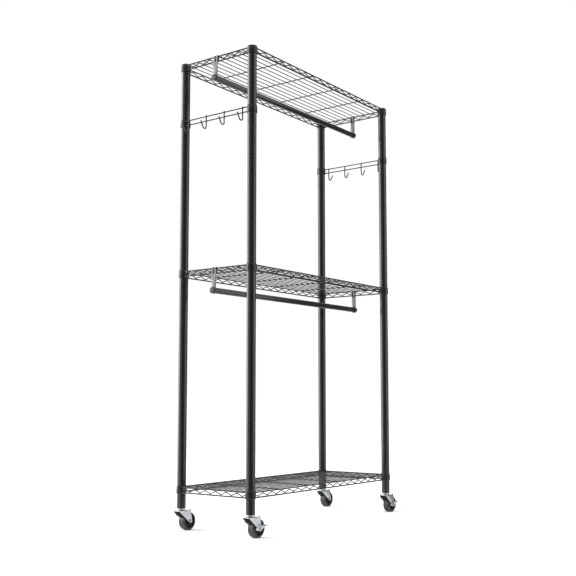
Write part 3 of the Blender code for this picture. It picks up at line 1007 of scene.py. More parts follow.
@dataclass(frozen=True)
class WireShelf:
    """A welded wire shelf on four collars.

    Attributes:
        collar: the collars and sleeves.
        level: which shelf it is.
        zigzag_wire: radius of the zigzag wire in the four sides.
        zigzag_pitch: length of one wave.
        deck_wire: radius of the wires that the deck is made of.
        deck_wires: how many there are.
        deck_pitch: between their axes.
        deck_rise: how far they lie above the frame wire's axis.
        cross_wires: wires under the deck, across the rack.
        wire_end: where a frame wire ends in a collar's wall, from the post axis.
        outer_end: where the outermost deck wires end in a collar's wall.
        bend: bend radius of the zigzag wire.
        seat: how much of its radius the zigzag wire stands clear of a frame wire's skin.
        past: how far the deck and cross wires reach past the frame wires' axes.
        sink: how deep the cross wires sink into the deck wires at a weld.
        weld_place: middle of the welds at the collars, from the post axis.
        corner_weld: half sizes of those welds: along the wire, across it and up.
        deck_weld: half sizes of the welds that hold the deck wires: along them, across and up.
        deck_weld_rise: their height above the frame wire's axis.
        sides: steps round a frame wire and round the thinner wires.
    """

    collar: Collar
    level: Level
    zigzag_wire: float = 0.0023
    zigzag_pitch: float = 0.060
    deck_wire: float = 0.0020
    deck_wires: int = 12
    deck_pitch: float = 0.0306
    deck_rise: float = 0.0009
    cross_wires: int = 4
    wire_end: float = 0.0178
    outer_end: float = 0.0125
    bend: float = 0.0055
    seat: float = 0.80
    past: float = 0.0006
    sink: float = 0.0003
    weld_place: float = 0.0205
    corner_weld: Point3 = (0.0030, 0.0034, 0.0036)
    deck_weld: Point3 = (0.0021, 0.0024, 0.0020)
    deck_weld_rise: float = 0.0014
    sides: tuple[int, int] = (16, 10)

    def zigzag(self, half: float, upper: float, lower: float, wire: float) -> list[Point2]:
        """The zigzag wire's path between two collars, as (distance along the side, height).

        Args:
            half: half the distance between the post axes.
            upper: height of the upper wire.
            lower: height of the lower wire.
            wire: radius of the frame wires.

        Returns:
            The path's points.
        """
        reach = half - self.wire_end
        waves = round(2 * reach / self.zigzag_pitch)
        step = reach / waves
        clear = wire + self.zigzag_wire * self.seat
        points = [(-reach, (upper + lower) / 2)]
        for k in range(2 * waves):
            height = lower + clear if k % 2 == 0 else upper - clear
            points.append((-reach + step * (k + 0.5), height))
        points.append((reach, (upper + lower) / 2))
        return rounded(points, self.bend, 5)

    def add_side(self, shape: Shape, plan: RackPlan, along: Axis, sign: int) -> None:
        """Adds one trussed side: two frame wires, the zigzag between them and their welds.

        Args:
            shape: the mesh to add to.
            plan: places and sizes that the sub-assemblies share.
            along: the way that the side runs.
            sign: which of the two such sides it is, -1 or 1.
        """
        upper = self.level.value
        lower = upper - plan.truss
        long_way = along is Axis.X
        half = (plan.length if long_way else plan.depth) / 2
        offset = sign * (plan.frame_y if long_way else plan.frame_x)
        side = (0, 1, 0) if long_way else (1, 0, 0)

        def spot(u: float, z: float) -> Point3:
            """A point of this side in the rack."""
            return (u, offset, z) if long_way else (offset, u, z)

        reach = half - self.wire_end
        frame_sides, thin_sides = self.sides
        one, other, up = self.corner_weld
        weld = (one, other, up) if long_way else (other, one, up)
        for z in (upper, lower):
            shape.rod([spot(-reach, z), spot(reach, z)], plan.frame_wire, side, frame_sides)
            for end in (-1, 1):
                shape.nugget(spot(end * (half - self.weld_place), z), weld)
        path = self.zigzag(half, upper, lower, plan.frame_wire)
        shape.rod([spot(u, z) for u, z in path], self.zigzag_wire, side, thin_sides)

    def add_deck(self, shape: Shape, plan: RackPlan) -> None:
        """Adds the deck wires and the cross wires under them.

        Args:
            shape: the mesh to add to.
            plan: places and sizes that the sub-assemblies share.
        """
        deck = self.level.value + self.deck_rise
        welded = self.level.value + self.deck_weld_rise
        thin_sides = self.sides[1]
        for k in range(self.deck_wires):
            y = (k - (self.deck_wires - 1) / 2) * self.deck_pitch
            meets_collar = abs(abs(y) - plan.depth / 2) < self.collar.radii[0]
            end = plan.length / 2 - self.outer_end if meets_collar else plan.frame_x + self.past
            shape.rod([(-end, y, deck), (end, y, deck)], self.deck_wire, (0, 1, 0), thin_sides)
            if not meets_collar:
                for sign in (-1, 1):
                    shape.nugget((sign * plan.frame_x, y, welded), self.deck_weld)
        under = deck - self.deck_wire - self.zigzag_wire + self.sink
        for k in range(self.cross_wires):
            x = (k - (self.cross_wires - 1) / 2) * 2 * plan.frame_x / (self.cross_wires + 1)
            reach = plan.frame_y + self.past
            shape.rod([(x, -reach, under), (x, reach, under)], self.zigzag_wire, (1, 0, 0),
                      thin_sides)

    def build(self, plan: RackPlan) -> None:
        """Puts the shelf and its four sleeves in place.

        Args:
            plan: places and sizes that the sub-assemblies share.
        """
        upper = self.level.value
        lower = upper - plan.truss
        shape = Shape()
        for corner in Corner:
            x, y = corner.value
            self.collar.add_ring(shape, (x * plan.length / 2, y * plan.depth / 2), upper, lower)
        for sign in (-1, 1):
            self.add_side(shape, plan, Axis.X, sign)
            self.add_side(shape, plan, Axis.Y, sign)
        self.add_deck(shape, plan)
        name = self.level.word
        plan.put(f"{name}_wire_shelf", shape.mesh("wire_shelf"), [WIRE_COAT], FRAME_BODY,
                 [f"{name}_shelf"])
        for corner in Corner:
            plan.put(f"{name}_split_sleeve_{corner.word}",
                     self.collar.sleeve_mesh(upper, lower, plan.post_radius), [MOULDED_PLASTIC],
                     FRAME_BODY, [f"{name}_sleeve_{corner.word}"], plan.post(corner))


# ---------------------------------------------------------------- hook rails


@dataclass(frozen=True)
class HookRail:
    """A hook rail on one short side: two wires between two posts, with four bent hooks.

    Attributes:
        collar: the collars and sleeves.
        side: which end of the rack it is on.
        height: of the upper wire.
        spacing: between the two wires.
        wire: radius of the rail wires.
        hook_wire: radius of the hooks.
        hooks: places of the hooks along Y.
        drop: upper wire to the lowest point of a hook.
        bend: bend radius of a hook.
        bend_angle: how far a hook is bent round, in degrees.
        arm: length of a hook's straight end.
        stem_rise: how far a hook's stem reaches above the upper wire's axis.
        sink: how deep a hook's stem and its welds sink into the rail wires.
        wire_end: where a rail wire ends in a collar's wall, from the post axis.
        weld_place: middle of the welds at the collars, from the post axis.
        corner_weld: half sizes of those welds.
        hook_weld: half sizes of the welds between hooks and wires.
    """

    collar: Collar
    side: Side
    height: float = 1.749
    spacing: float = 0.020
    wire: float = 0.0026
    hook_wire: float = 0.0028
    hooks: tuple[float, ...] = (-0.150, -0.050, 0.050, 0.150)
    drop: float = 0.056
    bend: float = 0.011
    bend_angle: float = 150.0
    arm: float = 0.028
    stem_rise: float = 0.0042
    sink: Point2 = (0.0009, 0.0003)
    wire_end: float = 0.0178
    weld_place: float = 0.0205
    corner_weld: Point3 = (0.0030, 0.0028, 0.0031)
    hook_weld: Point3 = (0.0016, 0.0031, 0.0021)

    def hook_path(self, plan: RackPlan, y: float) -> list[Point3]:
        """Path of one hook: down outside both wires, round and up again.

        Args:
            plan: places and sizes that the sub-assemblies share.
            y: place of the hook along the rail.

        Returns:
            The path's points.
        """
        stem = plan.frame_x + self.wire + self.hook_wire - self.sink[0]
        low = self.height - self.drop
        centre = (stem + self.bend, low + self.bend)
        flat = [(stem, self.height + self.stem_rise)]
        flat += arc(centre, self.bend, 180, 180 + self.bend_angle, 14)
        lean = math.radians(180 - self.bend_angle)
        tip = flat[-1]
        flat.append((tip[0] + self.arm * math.sin(lean), tip[1] + self.arm * math.cos(lean)))
        return [(self.side.value * x, y, z) for x, z in flat]

    def build(self, plan: RackPlan) -> None:
        """Puts the rail and its two sleeves in place.

        Args:
            plan: places and sizes that the sub-assemblies share.
        """
        sign = self.side.value
        upper, lower = self.height, self.height - self.spacing
        shape = Shape()
        for y in (-1, 1):
            axis = (sign * plan.length / 2, y * plan.depth / 2)
            self.collar.add_ring(shape, axis, upper, lower)
        reach = plan.depth / 2 - self.wire_end
        for z in (upper, lower):
            ends = [(sign * plan.frame_x, -reach, z), (sign * plan.frame_x, reach, z)]
            shape.rod(ends, self.wire, (1, 0, 0))
            for end in (-1, 1):
                spot = (sign * plan.frame_x, end * (plan.depth / 2 - self.weld_place), z)
                shape.nugget(spot, self.corner_weld)
        for y in self.hooks:
            shape.rod(self.hook_path(plan, y), self.hook_wire, (0, 1, 0))
            for z in (upper, lower):
                spot = (sign * (plan.frame_x + self.wire - self.sink[1]), y, z)
                shape.nugget(spot, self.hook_weld)
        word = self.side.word
        plan.put(f"{word}_wire_hook_rail", shape.mesh("hook_rail"), [WIRE_COAT], FRAME_BODY,
                 [f"{word}_hook_rail"])
        for corner in Corner:
            if corner.value[0] == sign:
                plan.put(f"rail_split_sleeve_{corner.word}",
                         self.collar.sleeve_mesh(upper, lower, plan.post_radius),
                         [MOULDED_PLASTIC], FRAME_BODY,
                         [f"rail_sleeve_{corner.word}"], plan.post(corner))


# ---------------------------------------------------------------- hanging rods


@dataclass(frozen=True)
class HangingRod:
    """A hanging rod under one shelf, held by a strap bracket at each end.

    Attributes:
        name: "upper" or "lower".
        level: the shelf that the brackets hook over.
        drop: the shelf's upper frame wire to the rod's axis.
        radius: of the tube.
        wall: of the tube.
        strap: thickness of the brackets' sheet.
        strap_width: their width.
        slot: width of the slot between a bracket's prongs.
        eye: outer radius of the eye round the rod.
        air: between the prongs and the frame wire.
        cad_wire: thickness of the frame wire that the brackets are spaced for.
        cap_radius: radius of the end caps.
        cap_length: length of the end caps outside the tube.
        past: how far the tube reaches past the strap.
        fit: clearance between parts that are pushed together.
        cap_plug: depth of a cap's plug, depth where it starts to taper, and the taper.
        cap_edge: small and large rounding of a cap's rim.
        cap_face: the groove in a cap's face, as (radius, depth below the rim's plane).
        root: height of the prongs' root above their tips.
        shoulder: how far above the eye the strap has its full width.
        eye_trim: angle left out where the eye meets the strap, in degrees.
        overlap: how far the prongs reach into the eye plate.
        bend: bend radius of the prongs.
        edge: radius of the sheet's edges.
        tip: chamfer of the prongs' ends.
        sides: steps round the tube and its caps.
    """

    name: str
    level: Level
    drop: float = 0.0928
    radius: float = 0.0125
    wall: float = 0.0012
    strap: float = 0.0024
    strap_width: float = 0.023
    slot: float = 0.007
    eye: float = 0.0152
    air: float = 0.0006
    cad_wire: float = 0.0051
    cap_radius: float = 0.0140
    cap_length: float = 0.0095
    past: float = 0.0007
    fit: float = 0.0003
    cap_plug: Point3 = (0.014, 0.0125, 0.0008)
    cap_edge: Point2 = (0.0004, 0.0018)
    cap_face: tuple[Point2, ...] = ((0.0108, 0.0), (0.0104, 0.0007), (0.0094, 0.0007),
                                    (0.0090, 0.0001), (0.0030, -0.0002), (0.0, -0.0002))
    root: float = 0.006
    shoulder: float = 0.003
    eye_trim: float = 6.0
    overlap: float = 0.0006
    bend: float = 0.0034
    edge: float = 0.0004
    tip: float = 0.0003
    sides: int = 48

    @property
    def height(self) -> float:
        """Height of the rod's axis."""
        return self.level.value - self.drop

    def strap_inner(self, plan: RackPlan) -> float:
        """Distance of the strap's inner face from the middle."""
        return plan.frame_x + self.cad_wire / 2 + self.air

    def tube_end(self, plan: RackPlan) -> float:
        """Distance of the tube's end from the middle."""
        return self.strap_inner(plan) + self.strap + self.past

    def tube_mesh(self, plan: RackPlan) -> bpy.types.Mesh:
        """The rod's tube, about its own middle.

        Args:
            plan: places and sizes that the sub-assemblies share.

        Returns:
            The tube's mesh.
        """
        half = self.tube_end(plan)
        bore = self.radius - self.wall
        shape = Shape()
        corners = [(self.radius, -half), (self.radius, half), (bore, half), (bore, -half)]
        shape.turn(rounded(corners, self.wall / 4, 2, closed=True), self.sides, Axis.X)
        return shape.mesh("rod_tube")

    def cap_mesh(self, plan: RackPlan, side: Side) -> bpy.types.Mesh:
        """The end cap: a rounded rim, a shallow ring groove in its face, and a plug.

        Args:
            plan: places and sizes that the sub-assemblies share.
            side: the end of the rod that it closes.

        Returns:
            The cap's mesh, from the rod's middle.
        """
        end = self.tube_end(plan)
        face = end + self.fit
        last = face + self.cap_length
        plug, rim = self.radius - self.wall - self.fit, self.cap_radius
        deep, straight, taper = self.cap_plug
        small, large = self.cap_edge
        profile = [(0.0, end - deep), (plug - taper, end - deep), (plug, end - straight),
                   (plug, face), (rim - small, face), (rim, face + small)]
        profile += arc((rim - large, last - large), large, 0, 80, 5)
        profile += [(radius, last - depth) for radius, depth in self.cap_face]
        shape = Shape()
        shape.turn([(r, side.value * x) for r, x in profile], self.sides, Axis.X)
        return shape.mesh("rod_cap")

    def bracket_mesh(self, plan: RackPlan, side: Side) -> bpy.types.Mesh:
        """The bracket: an eye plate, and two prongs bent over the shelf's side.

        Args:
            plan: places and sizes that the sub-assemblies share.
            side: the end of the rack that it is on.

        Returns:
            The bracket's mesh, from the rack's middle.
        """
        inner = self.strap_inner(plan)
        middle = inner + self.strap / 2
        back = inner - self.cad_wire - 2 * self.air - self.strap / 2
        upper = self.level.value
        bend_top = upper + self.cad_wire / 2 + self.air + self.strap / 2
        foot = upper - plan.truss - self.cad_wire / 2
        half = self.strap_width / 2
        root = foot + self.root
        narrow = self.slot / 2
        lean = math.degrees(math.asin(half / self.eye))
        trim = self.eye_trim
        eye = arc((0.0, self.height), self.eye, 90 + lean - trim, 450 - lean + trim, 40)
        notch = arc((0.0, foot + narrow), narrow, 0, -180, 12)
        shoulder = self.height + self.eye + self.shoulder
        outline = [*eye, (half, shoulder), (half, root), (narrow, root), *notch, (-narrow, root),
                   (-half, root), (-half, shoulder)]
        bore = [(y, self.height + z) for y, z in circle(self.radius + self.fit, self.sides)]
        shape = Shape()
        place = Matrix.Translation((side.value * middle, 0, 0)) @ UPRIGHT_YZ
        shape.take(plate([outline, bore], self.strap, self.edge), place)
        path = [(middle, root - self.overlap), (middle, bend_top), (back, bend_top), (back, foot)]
        bent = [(side.value * x, z) for x, z in rounded(path, self.bend, 7)]
        width = half - narrow
        for sign in (-1, 1):
            y = sign * (narrow + width / 2)
            shape.sweep([(x, y, z) for x, z in bent], bar(width, self.strap, self.edge),
                        (0, 1, 0), soften=self.tip)
        return shape.mesh("rod_bracket")

    def build(self, plan: RackPlan) -> None:
        """Puts the rod, its brackets and its caps in place.

        Args:
            plan: places and sizes that the sub-assemblies share.
        """
        middle = plan.origin + Vector((0, 0, self.height))
        plan.put(f"{self.name}_hanging_rod", self.tube_mesh(plan), [ROD_COAT], FRAME_BODY,
                 [f"{self.name}_rod"], middle)
        for side in Side:
            plan.put(f"{self.name}_strap_bracket_{side.word}", self.bracket_mesh(plan, side),
                     [STRAP_COAT_PAINTED_REFLECTION], FRAME_BODY,
                     [f"{self.name}_rod_bracket_{side.word}"])
            plan.put(f"{self.name}_end_cap_{side.word}", self.cap_mesh(plan, side), [CAP_PLASTIC],
                     FRAME_BODY, [f"{self.name}_rod_cap_{side.word}"], middle)


# ---------------------------------------------------------------- casters


@dataclass(frozen=True)
class Caster:
    """A stem caster: bearing head, pressed fork, toe guard, axle bolt, wheel and brake lever.

    Attributes:
        corner: the post that it is under.
        trail: swivel axis to wheel axle, along +X.
        wheel_radius: radius of the tread.
        wheel_half: half the tyre's width.
        crown: lower and upper face of the fork's crown plate.
        legs: inner and outer face of a fork leg, from the wheel's middle plane.
        lever: inner and outer face of the brake lever.
        axle: radius of the axle bolt.
        bolt_head: length of the bolt's head.
        bolt_end: reach of the bolt's thread behind the fork.
        stem_top: upper end of the stem's insert in the post.
        foot: radius of a fork leg's rounded end.
        wheel_air: between the tread and the toe guard.
        nose: radius of the toe guard's nose about the swivel axis.
        fit: clearance between parts that sit on or in each other.
        narrower: how much narrower than the post the bearing head and the insert are.
        head_form: the bearing head's side, as (distance in from its skin, height).
        head_edge: radius of the bearing head's edges.
        kingpin: radii of the kingpin and of its riveted end.
        rivet_length: length of the riveted end.
        rivet_dome: how far the riveted end is rounded off, in radius and in height.
        buried: depth of the kingpin in the insert, and of the insert in the bearing head.
        insert_taper: taper of the insert's upper end.
        leg_top: a fork leg's upper outline, front to rear, as (X, Z).
        leg_bend: radius of its corners.
        edge: radius of the pressed sheet's edges.
        stamped_edge: radius of the edges of stamped plates.
        crown_span: front and rear edge of the crown plate.
        crown_sheet: how much thinner than the legs it is, and the radius of its edges.
        crown_foot: height where the crown's bent sides start.
        crown_bend: bend radius between the crown and the legs.
        tail: front and rear edge of the crown's tail plate, and its thickness.
        tail_round: radius of the tail plate's corners.
        race: inner radius, upper outer radius and widest radius of the race on the crown.
        race_rise: height of the race above the crown, and from its widest place to its top.
        guard_drop: the crown's lower face to the toe guard's top.
        guard_arc: first and last angle of the guard's bore about the axle, in degrees.
        guard_lip: the lower corners of the guard's lip, as (X, Z).
        lip_round: radius of the lip's corners.
        nose_angle: half the angle that the guard's nose spans, in degrees.
        guard_edge: radius of the guard's edges.
        hexagon: outer radius of the bolt's head.
        head_chamfer: chamfer of the head, in radius and in length.
        washer: radius and thickness of the washer under the bolt's head.
        washer_edge: radius of the washer's edges.
        thread: depth and pitch of the thread, and the start of its crest and root.
        bolt_tip: chamfer of the bolt's end.
        nut: section of the nut, as (radius, distance from its face).
        nut_ring: section of the locking ring in the nut.
        nut_edge: radius of the ring's edges.
        hub: one half of the hub's section, as (radius, distance in from its face).
        spokes: number of ribs on the hub.
        spoke: first and last radius of a rib.
        spoke_bar: thickness of a rib, and how much narrower than the wheel it is.
        tyre: the tyre's side, as (radius, distance in from its face).
        shoulder: middle of the tyre's rounded shoulder, in from the tread and from the face,
            and its radius.
        tread_start: where the flat tread starts, in from the face.
        mould_line: half the width, and the depth, of the line round the tread.
        lever_eye: radius of the lever round the axle.
        lever_tip: radius of its two ends.
        lever_ends: middles of its front and rear end, from the axle, as (X, Z).
        tab: place along X, height, reach along Y, width and thickness of the lever's foot tab.
        tab_bend: height where the tab starts to bend out of the lever, and the bend's radius.
        grips: number of ribs on the tab.
        grip: first rib's place, distance between ribs, their two ends and their radius.
    """

    corner: Corner
    trail: float = 0.037
    wheel_radius: float = 0.0375
    wheel_half: float = 0.0155
    crown: Point2 = (0.0810, 0.0840)
    legs: Point2 = (0.0175, 0.0200)
    lever: Point2 = (0.0203, 0.0223)
    axle: float = 0.004
    bolt_head: float = 0.0045
    bolt_end: float = 0.027
    stem_top: float = 0.135
    foot: float = 0.0080
    wheel_air: float = 0.0035
    nose: float = 0.0230
    fit: float = 0.0003
    narrower: Point2 = (0.0010, 0.0020)
    head_form: tuple[Point2, ...] = ((0.0015, 0.0), (0.0, 0.0012), (0.0, 0.0040),
                                     (0.0012, 0.0044), (0.0012, 0.0050), (0.0, 0.0054))
    head_edge: float = 0.0005
    kingpin: Point2 = (0.0050, 0.0070)
    rivet_length: float = 0.0038
    rivet_dome: Point2 = (0.0012, 0.0011)
    buried: Point2 = (0.0010, 0.0005)
    insert_taper: float = 0.0020
    leg_top: tuple[Point2, ...] = (
        (-0.0262, 0.0788), (-0.0245, 0.0803), (0.0196, 0.0803), (0.0214, 0.0842),
        (0.0385, 0.0900), (0.0395, 0.0760), (0.0452, 0.0480))
    leg_bend: float = 0.0016
    edge: float = 0.0005
    stamped_edge: float = 0.0004
    crown_span: Point2 = (-0.0245, 0.0198)
    crown_sheet: Point2 = (0.0001, 0.0006)
    crown_foot: float = 0.0796
    crown_bend: float = 0.0030
    tail: Point3 = (0.0150, 0.0372, 0.0022)
    tail_round: float = 0.0020
    race: Point3 = (0.0056, 0.0166, 0.0172)
    race_rise: Point2 = (0.0004, 0.0006)
    guard_drop: float = 0.0044
    guard_arc: Point2 = (152.0, 124.0)
    guard_lip: tuple[Point2, ...] = ((-0.0150, 0.0640), (-0.0235, 0.0655))
    lip_round: float = 0.0035
    nose_angle: float = 48.0
    guard_edge: float = 0.0006
    hexagon: float = 0.0065
    head_chamfer: Point2 = (0.0013, 0.0008)
    washer: Point2 = (0.0072, 0.0008)
    washer_edge: float = 0.0003
    thread: tuple[float, ...] = (0.0005, 0.0008, 0.0002, 0.0005)
    bolt_tip: float = 0.0006
    nut: tuple[Point2, ...] = ((0.0038, 0.0), (0.0065, 0.0), (0.0065, 0.0034),
                               (0.0058, 0.0038), (0.0038, 0.0038))
    nut_ring: tuple[Point2, ...] = ((0.0038, 0.0036), (0.0053, 0.0036), (0.0053, 0.0050),
                                    (0.0038, 0.0050))
    nut_edge: float = 0.0004
    hub: tuple[Point2, ...] = (
        (0.0085, -0.0010), (0.0092, -0.0004), (0.0104, 0.0044), (0.0270, 0.0044),
        (0.0284, 0.0006), (0.0292, 0.0004))
    spokes: int = 6
    spoke: Point2 = (0.0090, 0.0280)
    spoke_bar: Point2 = (0.0022, 0.0024)
    tyre: tuple[Point2, ...] = ((0.0288, 0.0010), (0.0300, 0.0), (0.0335, 0.0))
    shoulder: Point3 = (0.0040, 0.0036, 0.0037)
    tread_start: float = 0.0062
    mould_line: Point2 = (0.0006, 0.0002)
    lever_eye: float = 0.0105
    lever_tip: float = 0.0045
    lever_ends: tuple[Point2, Point2] = ((-0.024, -0.001), (0.025, 0.011))
    tab: tuple[float, ...] = (0.027, 0.0105, -0.0360, 0.016, 0.0018)
    tab_bend: Point2 = (0.0050, 0.0016)
    grips: int = 4
    grip: tuple[float, ...] = (0.0216, 0.0036, -0.0345, -0.0245, 0.0006)

    def stem_mesh(self, plan: RackPlan) -> bpy.types.Mesh:
        """The bearing head in two pressed tiers, its insert above and its kingpin below.

        Args:
            plan: places and sizes that the sub-assemblies share.

        Returns:
            The bearing head's mesh, from the post's foot.
        """
        head, insert = (plan.post_radius - less for less in self.narrower)
        low, high = self.crown[1] + 2 * self.fit, plan.post_bottom - self.fit
        rivet = self.crown[0] - self.rivet_length
        shank, riveted = self.kingpin
        under = self.crown[0] - self.fit
        tiers = [(head - inward, low + rise) for inward, rise in self.head_form]
        section = [(shank, low), *tiers, (head, high), (shank, high)]
        shape = Shape()
        shape.turn(rounded(section, self.head_edge, 3, closed=True), 48)
        inward, rise = self.rivet_dome
        pin_top, plug_foot = high + self.buried[0], high - self.buried[1]
        pin = [(0.0, rivet), (riveted - inward, rivet), (riveted, rivet + rise),
               (riveted, under), (shank, under), (shank, pin_top), (0.0, pin_top)]
        shape.turn(pin, 32)
        top, taper = self.stem_top, self.insert_taper
        plug = [(0.0, plug_foot), (insert, plug_foot), (insert, top - taper),
                (insert - taper, top), (0.0, top)]
        shape.turn(plug, 40)
        return shape.mesh("caster_stem")

    def leg_outline(self) -> list[Point2]:
        """A fork leg in (X, Z): a slanted front edge, a rounded foot and a raised rear ear.

        Returns:
            The outline, as (X, Z) from the post axis and the floor.
        """
        foot = arc((self.trail, self.wheel_radius), self.foot, -15, -135, 12)
        return foot + rounded([foot[-1], *self.leg_top, foot[0]], self.leg_bend, 4)[1:-1]

    def fork_mesh(self) -> bpy.types.Mesh:
        """The pressed fork: two legs, the crown bent out of one sheet with them, and its race.

        Returns:
            The fork's mesh, from the post's foot.
        """
        inner, outer = self.legs
        thick = outer - inner
        middle = (inner + outer) / 2
        hole = circle(self.axle + self.fit, 24)
        bore = [(self.trail + x, self.wheel_radius + z) for x, z in hole]
        shape = Shape()
        for sign in (-1, 1):
            leg = plate([self.leg_outline(), bore], thick, self.edge)
            shape.take(leg, Matrix.Translation((0, sign * middle, 0)) @ UPRIGHT_XZ)
        level = sum(self.crown) / 2
        foot = self.crown_foot
        bend = rounded([(-middle, foot), (-middle, level), (middle, level), (middle, foot)],
                       self.crown_bend, 6)
        front, rear = self.crown_span
        thinner, rounding = self.crown_sheet
        shape.sweep([((front + rear) / 2, y, z) for y, z in bend],
                    bar(rear - front, thick - thinner, rounding), (1, 0, 0))
        first, last, tail_thick = self.tail
        tail = rounded([(first, -inner), (last, -inner), (last, inner), (first, inner)],
                       self.tail_round, 4, closed=True)
        shape.take(plate([tail], tail_thick, self.stamped_edge),
                   Matrix.Translation((0, 0, level)))
        hole, rim, belly = self.race
        top = self.crown[1] + self.race_rise[0]
        widest = top - self.race_rise[1]
        race = [(hole, level), (rim, level), (belly, widest), (rim, top), (hole, top)]
        shape.turn(race, 40)
        return shape.mesh("pressed_fork")

    def guard_mesh(self) -> bpy.types.Mesh:
        """The moulded toe guard: a visor over the wheel with a rounded nose.

        Returns:
            The guard's mesh, from the post's foot.
        """
        top = self.crown[0] - self.guard_drop
        reach = self.wheel_radius + self.wheel_air
        bore = arc((self.trail, self.wheel_radius), reach, *self.guard_arc, 14)
        front = self.guard_lip[-1][0]
        lip = rounded([bore[0], *self.guard_lip, (front, top), bore[-1]], self.lip_round, 6)
        view = bore + lip[-2:0:-1]
        visor = block(view, -0.03, 0.03)
        visor.transform(UPRIGHT_XZ)
        half = self.legs[0] - self.fit
        nose = arc((0.0, 0.0), self.nose, 180 - self.nose_angle, 180 + self.nose_angle, 24)
        plan_view = nose + [(nose[-1][0], -half), (0.02, -half), (0.02, half), (nose[0][0], half)]
        cut = boolean(visor, block(plan_view, 0.05, 0.09), "INTERSECT")
        rounding = {"width": self.guard_edge, "segments": 3, "limit_method": "ANGLE",
                    "angle_limit": math.radians(30)}
        soft = evaluated(cut, [("BEVEL", rounding)])
        shape = Shape()
        shape.take(soft)
        return shape.mesh("toe_guard")

    def axle_mesh(self) -> bpy.types.Mesh:
        """The axle bolt about its own middle: hexagon head, shank, thread and locking nut.

        Returns:
            The bolt's mesh.
        """
        seat = (self.lever[1] if self.corner.braked else self.legs[1]) + self.fit
        nut = self.legs[1] + self.fit
        corner, last = self.hexagon, -seat - self.bolt_head
        inward, along = self.head_chamfer
        shape = Shape()
        head = [(0.0, last), (corner - inward, last), (corner, last + along), (corner, -seat),
                (0.0, -seat)]
        shape.turn(head, 6, Axis.Y)
        rim, thick = self.washer
        ring = [(self.axle, -seat - thick), (rim, -seat - thick), (rim, -seat),
                (self.axle, -seat)]
        shape.turn(rounded(ring, self.washer_edge, 2, closed=True), 32, Axis.Y)
        depth, pitch, crest, root = self.thread
        thread = [(0.0, -seat), (self.axle, -seat), (self.axle, nut)]
        y = nut
        while y < self.bolt_end - 1.5 * pitch:
            thread += [(self.axle, y + crest), (self.axle - depth, y + root)]
            y += pitch
        thread += [(self.axle - self.bolt_tip, self.bolt_end), (0.0, self.bolt_end)]
        shape.turn(thread, 24, Axis.Y)
        shape.turn([(r, nut + along) for r, along in self.nut], 6, Axis.Y)
        locking = [(r, nut + along) for r, along in self.nut_ring]
        shape.turn(rounded(locking, self.nut_edge, 3, closed=True), 32, Axis.Y)
        return shape.mesh("axle_bolt")

    def wheel_mesh(self) -> bpy.types.Mesh:
        """The wheel about its axle: a ribbed moulded hub (first finish) and a tyre (second).

        Returns:
            The wheel's mesh.
        """
        half = self.wheel_half
        hub = [(self.axle + self.fit, -half + self.hub[0][1])]
        hub += [(r, -half + inward) for r, inward in self.hub]
        back = [(r, -y) for r, y in reversed(hub)]
        shape = Shape()
        shape.turn(hub + back, 64, Axis.Y)
        thick, narrower = self.spoke_bar
        for k in range(self.spokes):
            turn = math.radians((k + 0.5) * 360 / self.spokes)
            across = (-math.sin(turn), 0.0, math.cos(turn))
            ends = [(r * math.cos(turn), 0.0, r * math.sin(turn)) for r in self.spoke]
            shape.sweep(ends, bar(thick, 2 * half - narrower, self.edge), across)
        tread, (width, depth) = self.wheel_radius, self.mould_line
        below, inward, bend = self.shoulder
        tyre = [(r, -half + along) for r, along in self.tyre]
        tyre += arc((tread - below, -half + inward), bend, -80, -12, 6)
        tyre += [(tread, -half + self.tread_start), (tread, -width), (tread - depth, 0.0)]
        mirrored = [(r, -y) for r, y in reversed(tyre[:-1])]
        shape.turn(tyre + mirrored, 96, Axis.Y, paint=1)
        return shape.mesh("caster_wheel")

    def lever_mesh(self) -> bpy.types.Mesh:
        """The brake lever about the axle: a stamped plate, its foot tab and the tab's ribs.

        Returns:
            The lever's mesh.
        """
        front, rear = self.lever_ends
        outline = arc((0.0, 0.0), self.lever_eye, -60, -120, 8)
        outline += arc(front, self.lever_tip, -110, -250, 8)
        outline += arc((0.0, 0.0), self.lever_eye, 110, 75, 4)
        outline += arc(rear, self.lever_tip, 110, -50, 8)
        inner, outer = self.lever
        middle = (inner + outer) / 2
        shape = Shape()
        bore = circle(self.axle + self.fit, 24)
        stamped = plate([outline, bore], outer - inner, self.stamped_edge)
        shape.take(stamped, Matrix.Translation((0, -middle, 0)) @ UPRIGHT_XZ)
        place, level, reach, width, thick = self.tab
        low, rounding = self.tab_bend
        bend = rounded([(-middle, low), (-middle, level), (reach, level)], rounding, 5)
        shape.sweep([(place, y, z) for y, z in bend], bar(width, thick, self.edge), (1, 0, 0),
                    soften=self.stamped_edge)
        first, pitch, end, start, radius = self.grip
        skin = level + thick / 2
        for k in range(self.grips):
            x = first + pitch * k
            shape.rod([(x, end, skin), (x, start, skin)], radius, (1, 0, 0), 8)
        return shape.mesh("brake_lever")

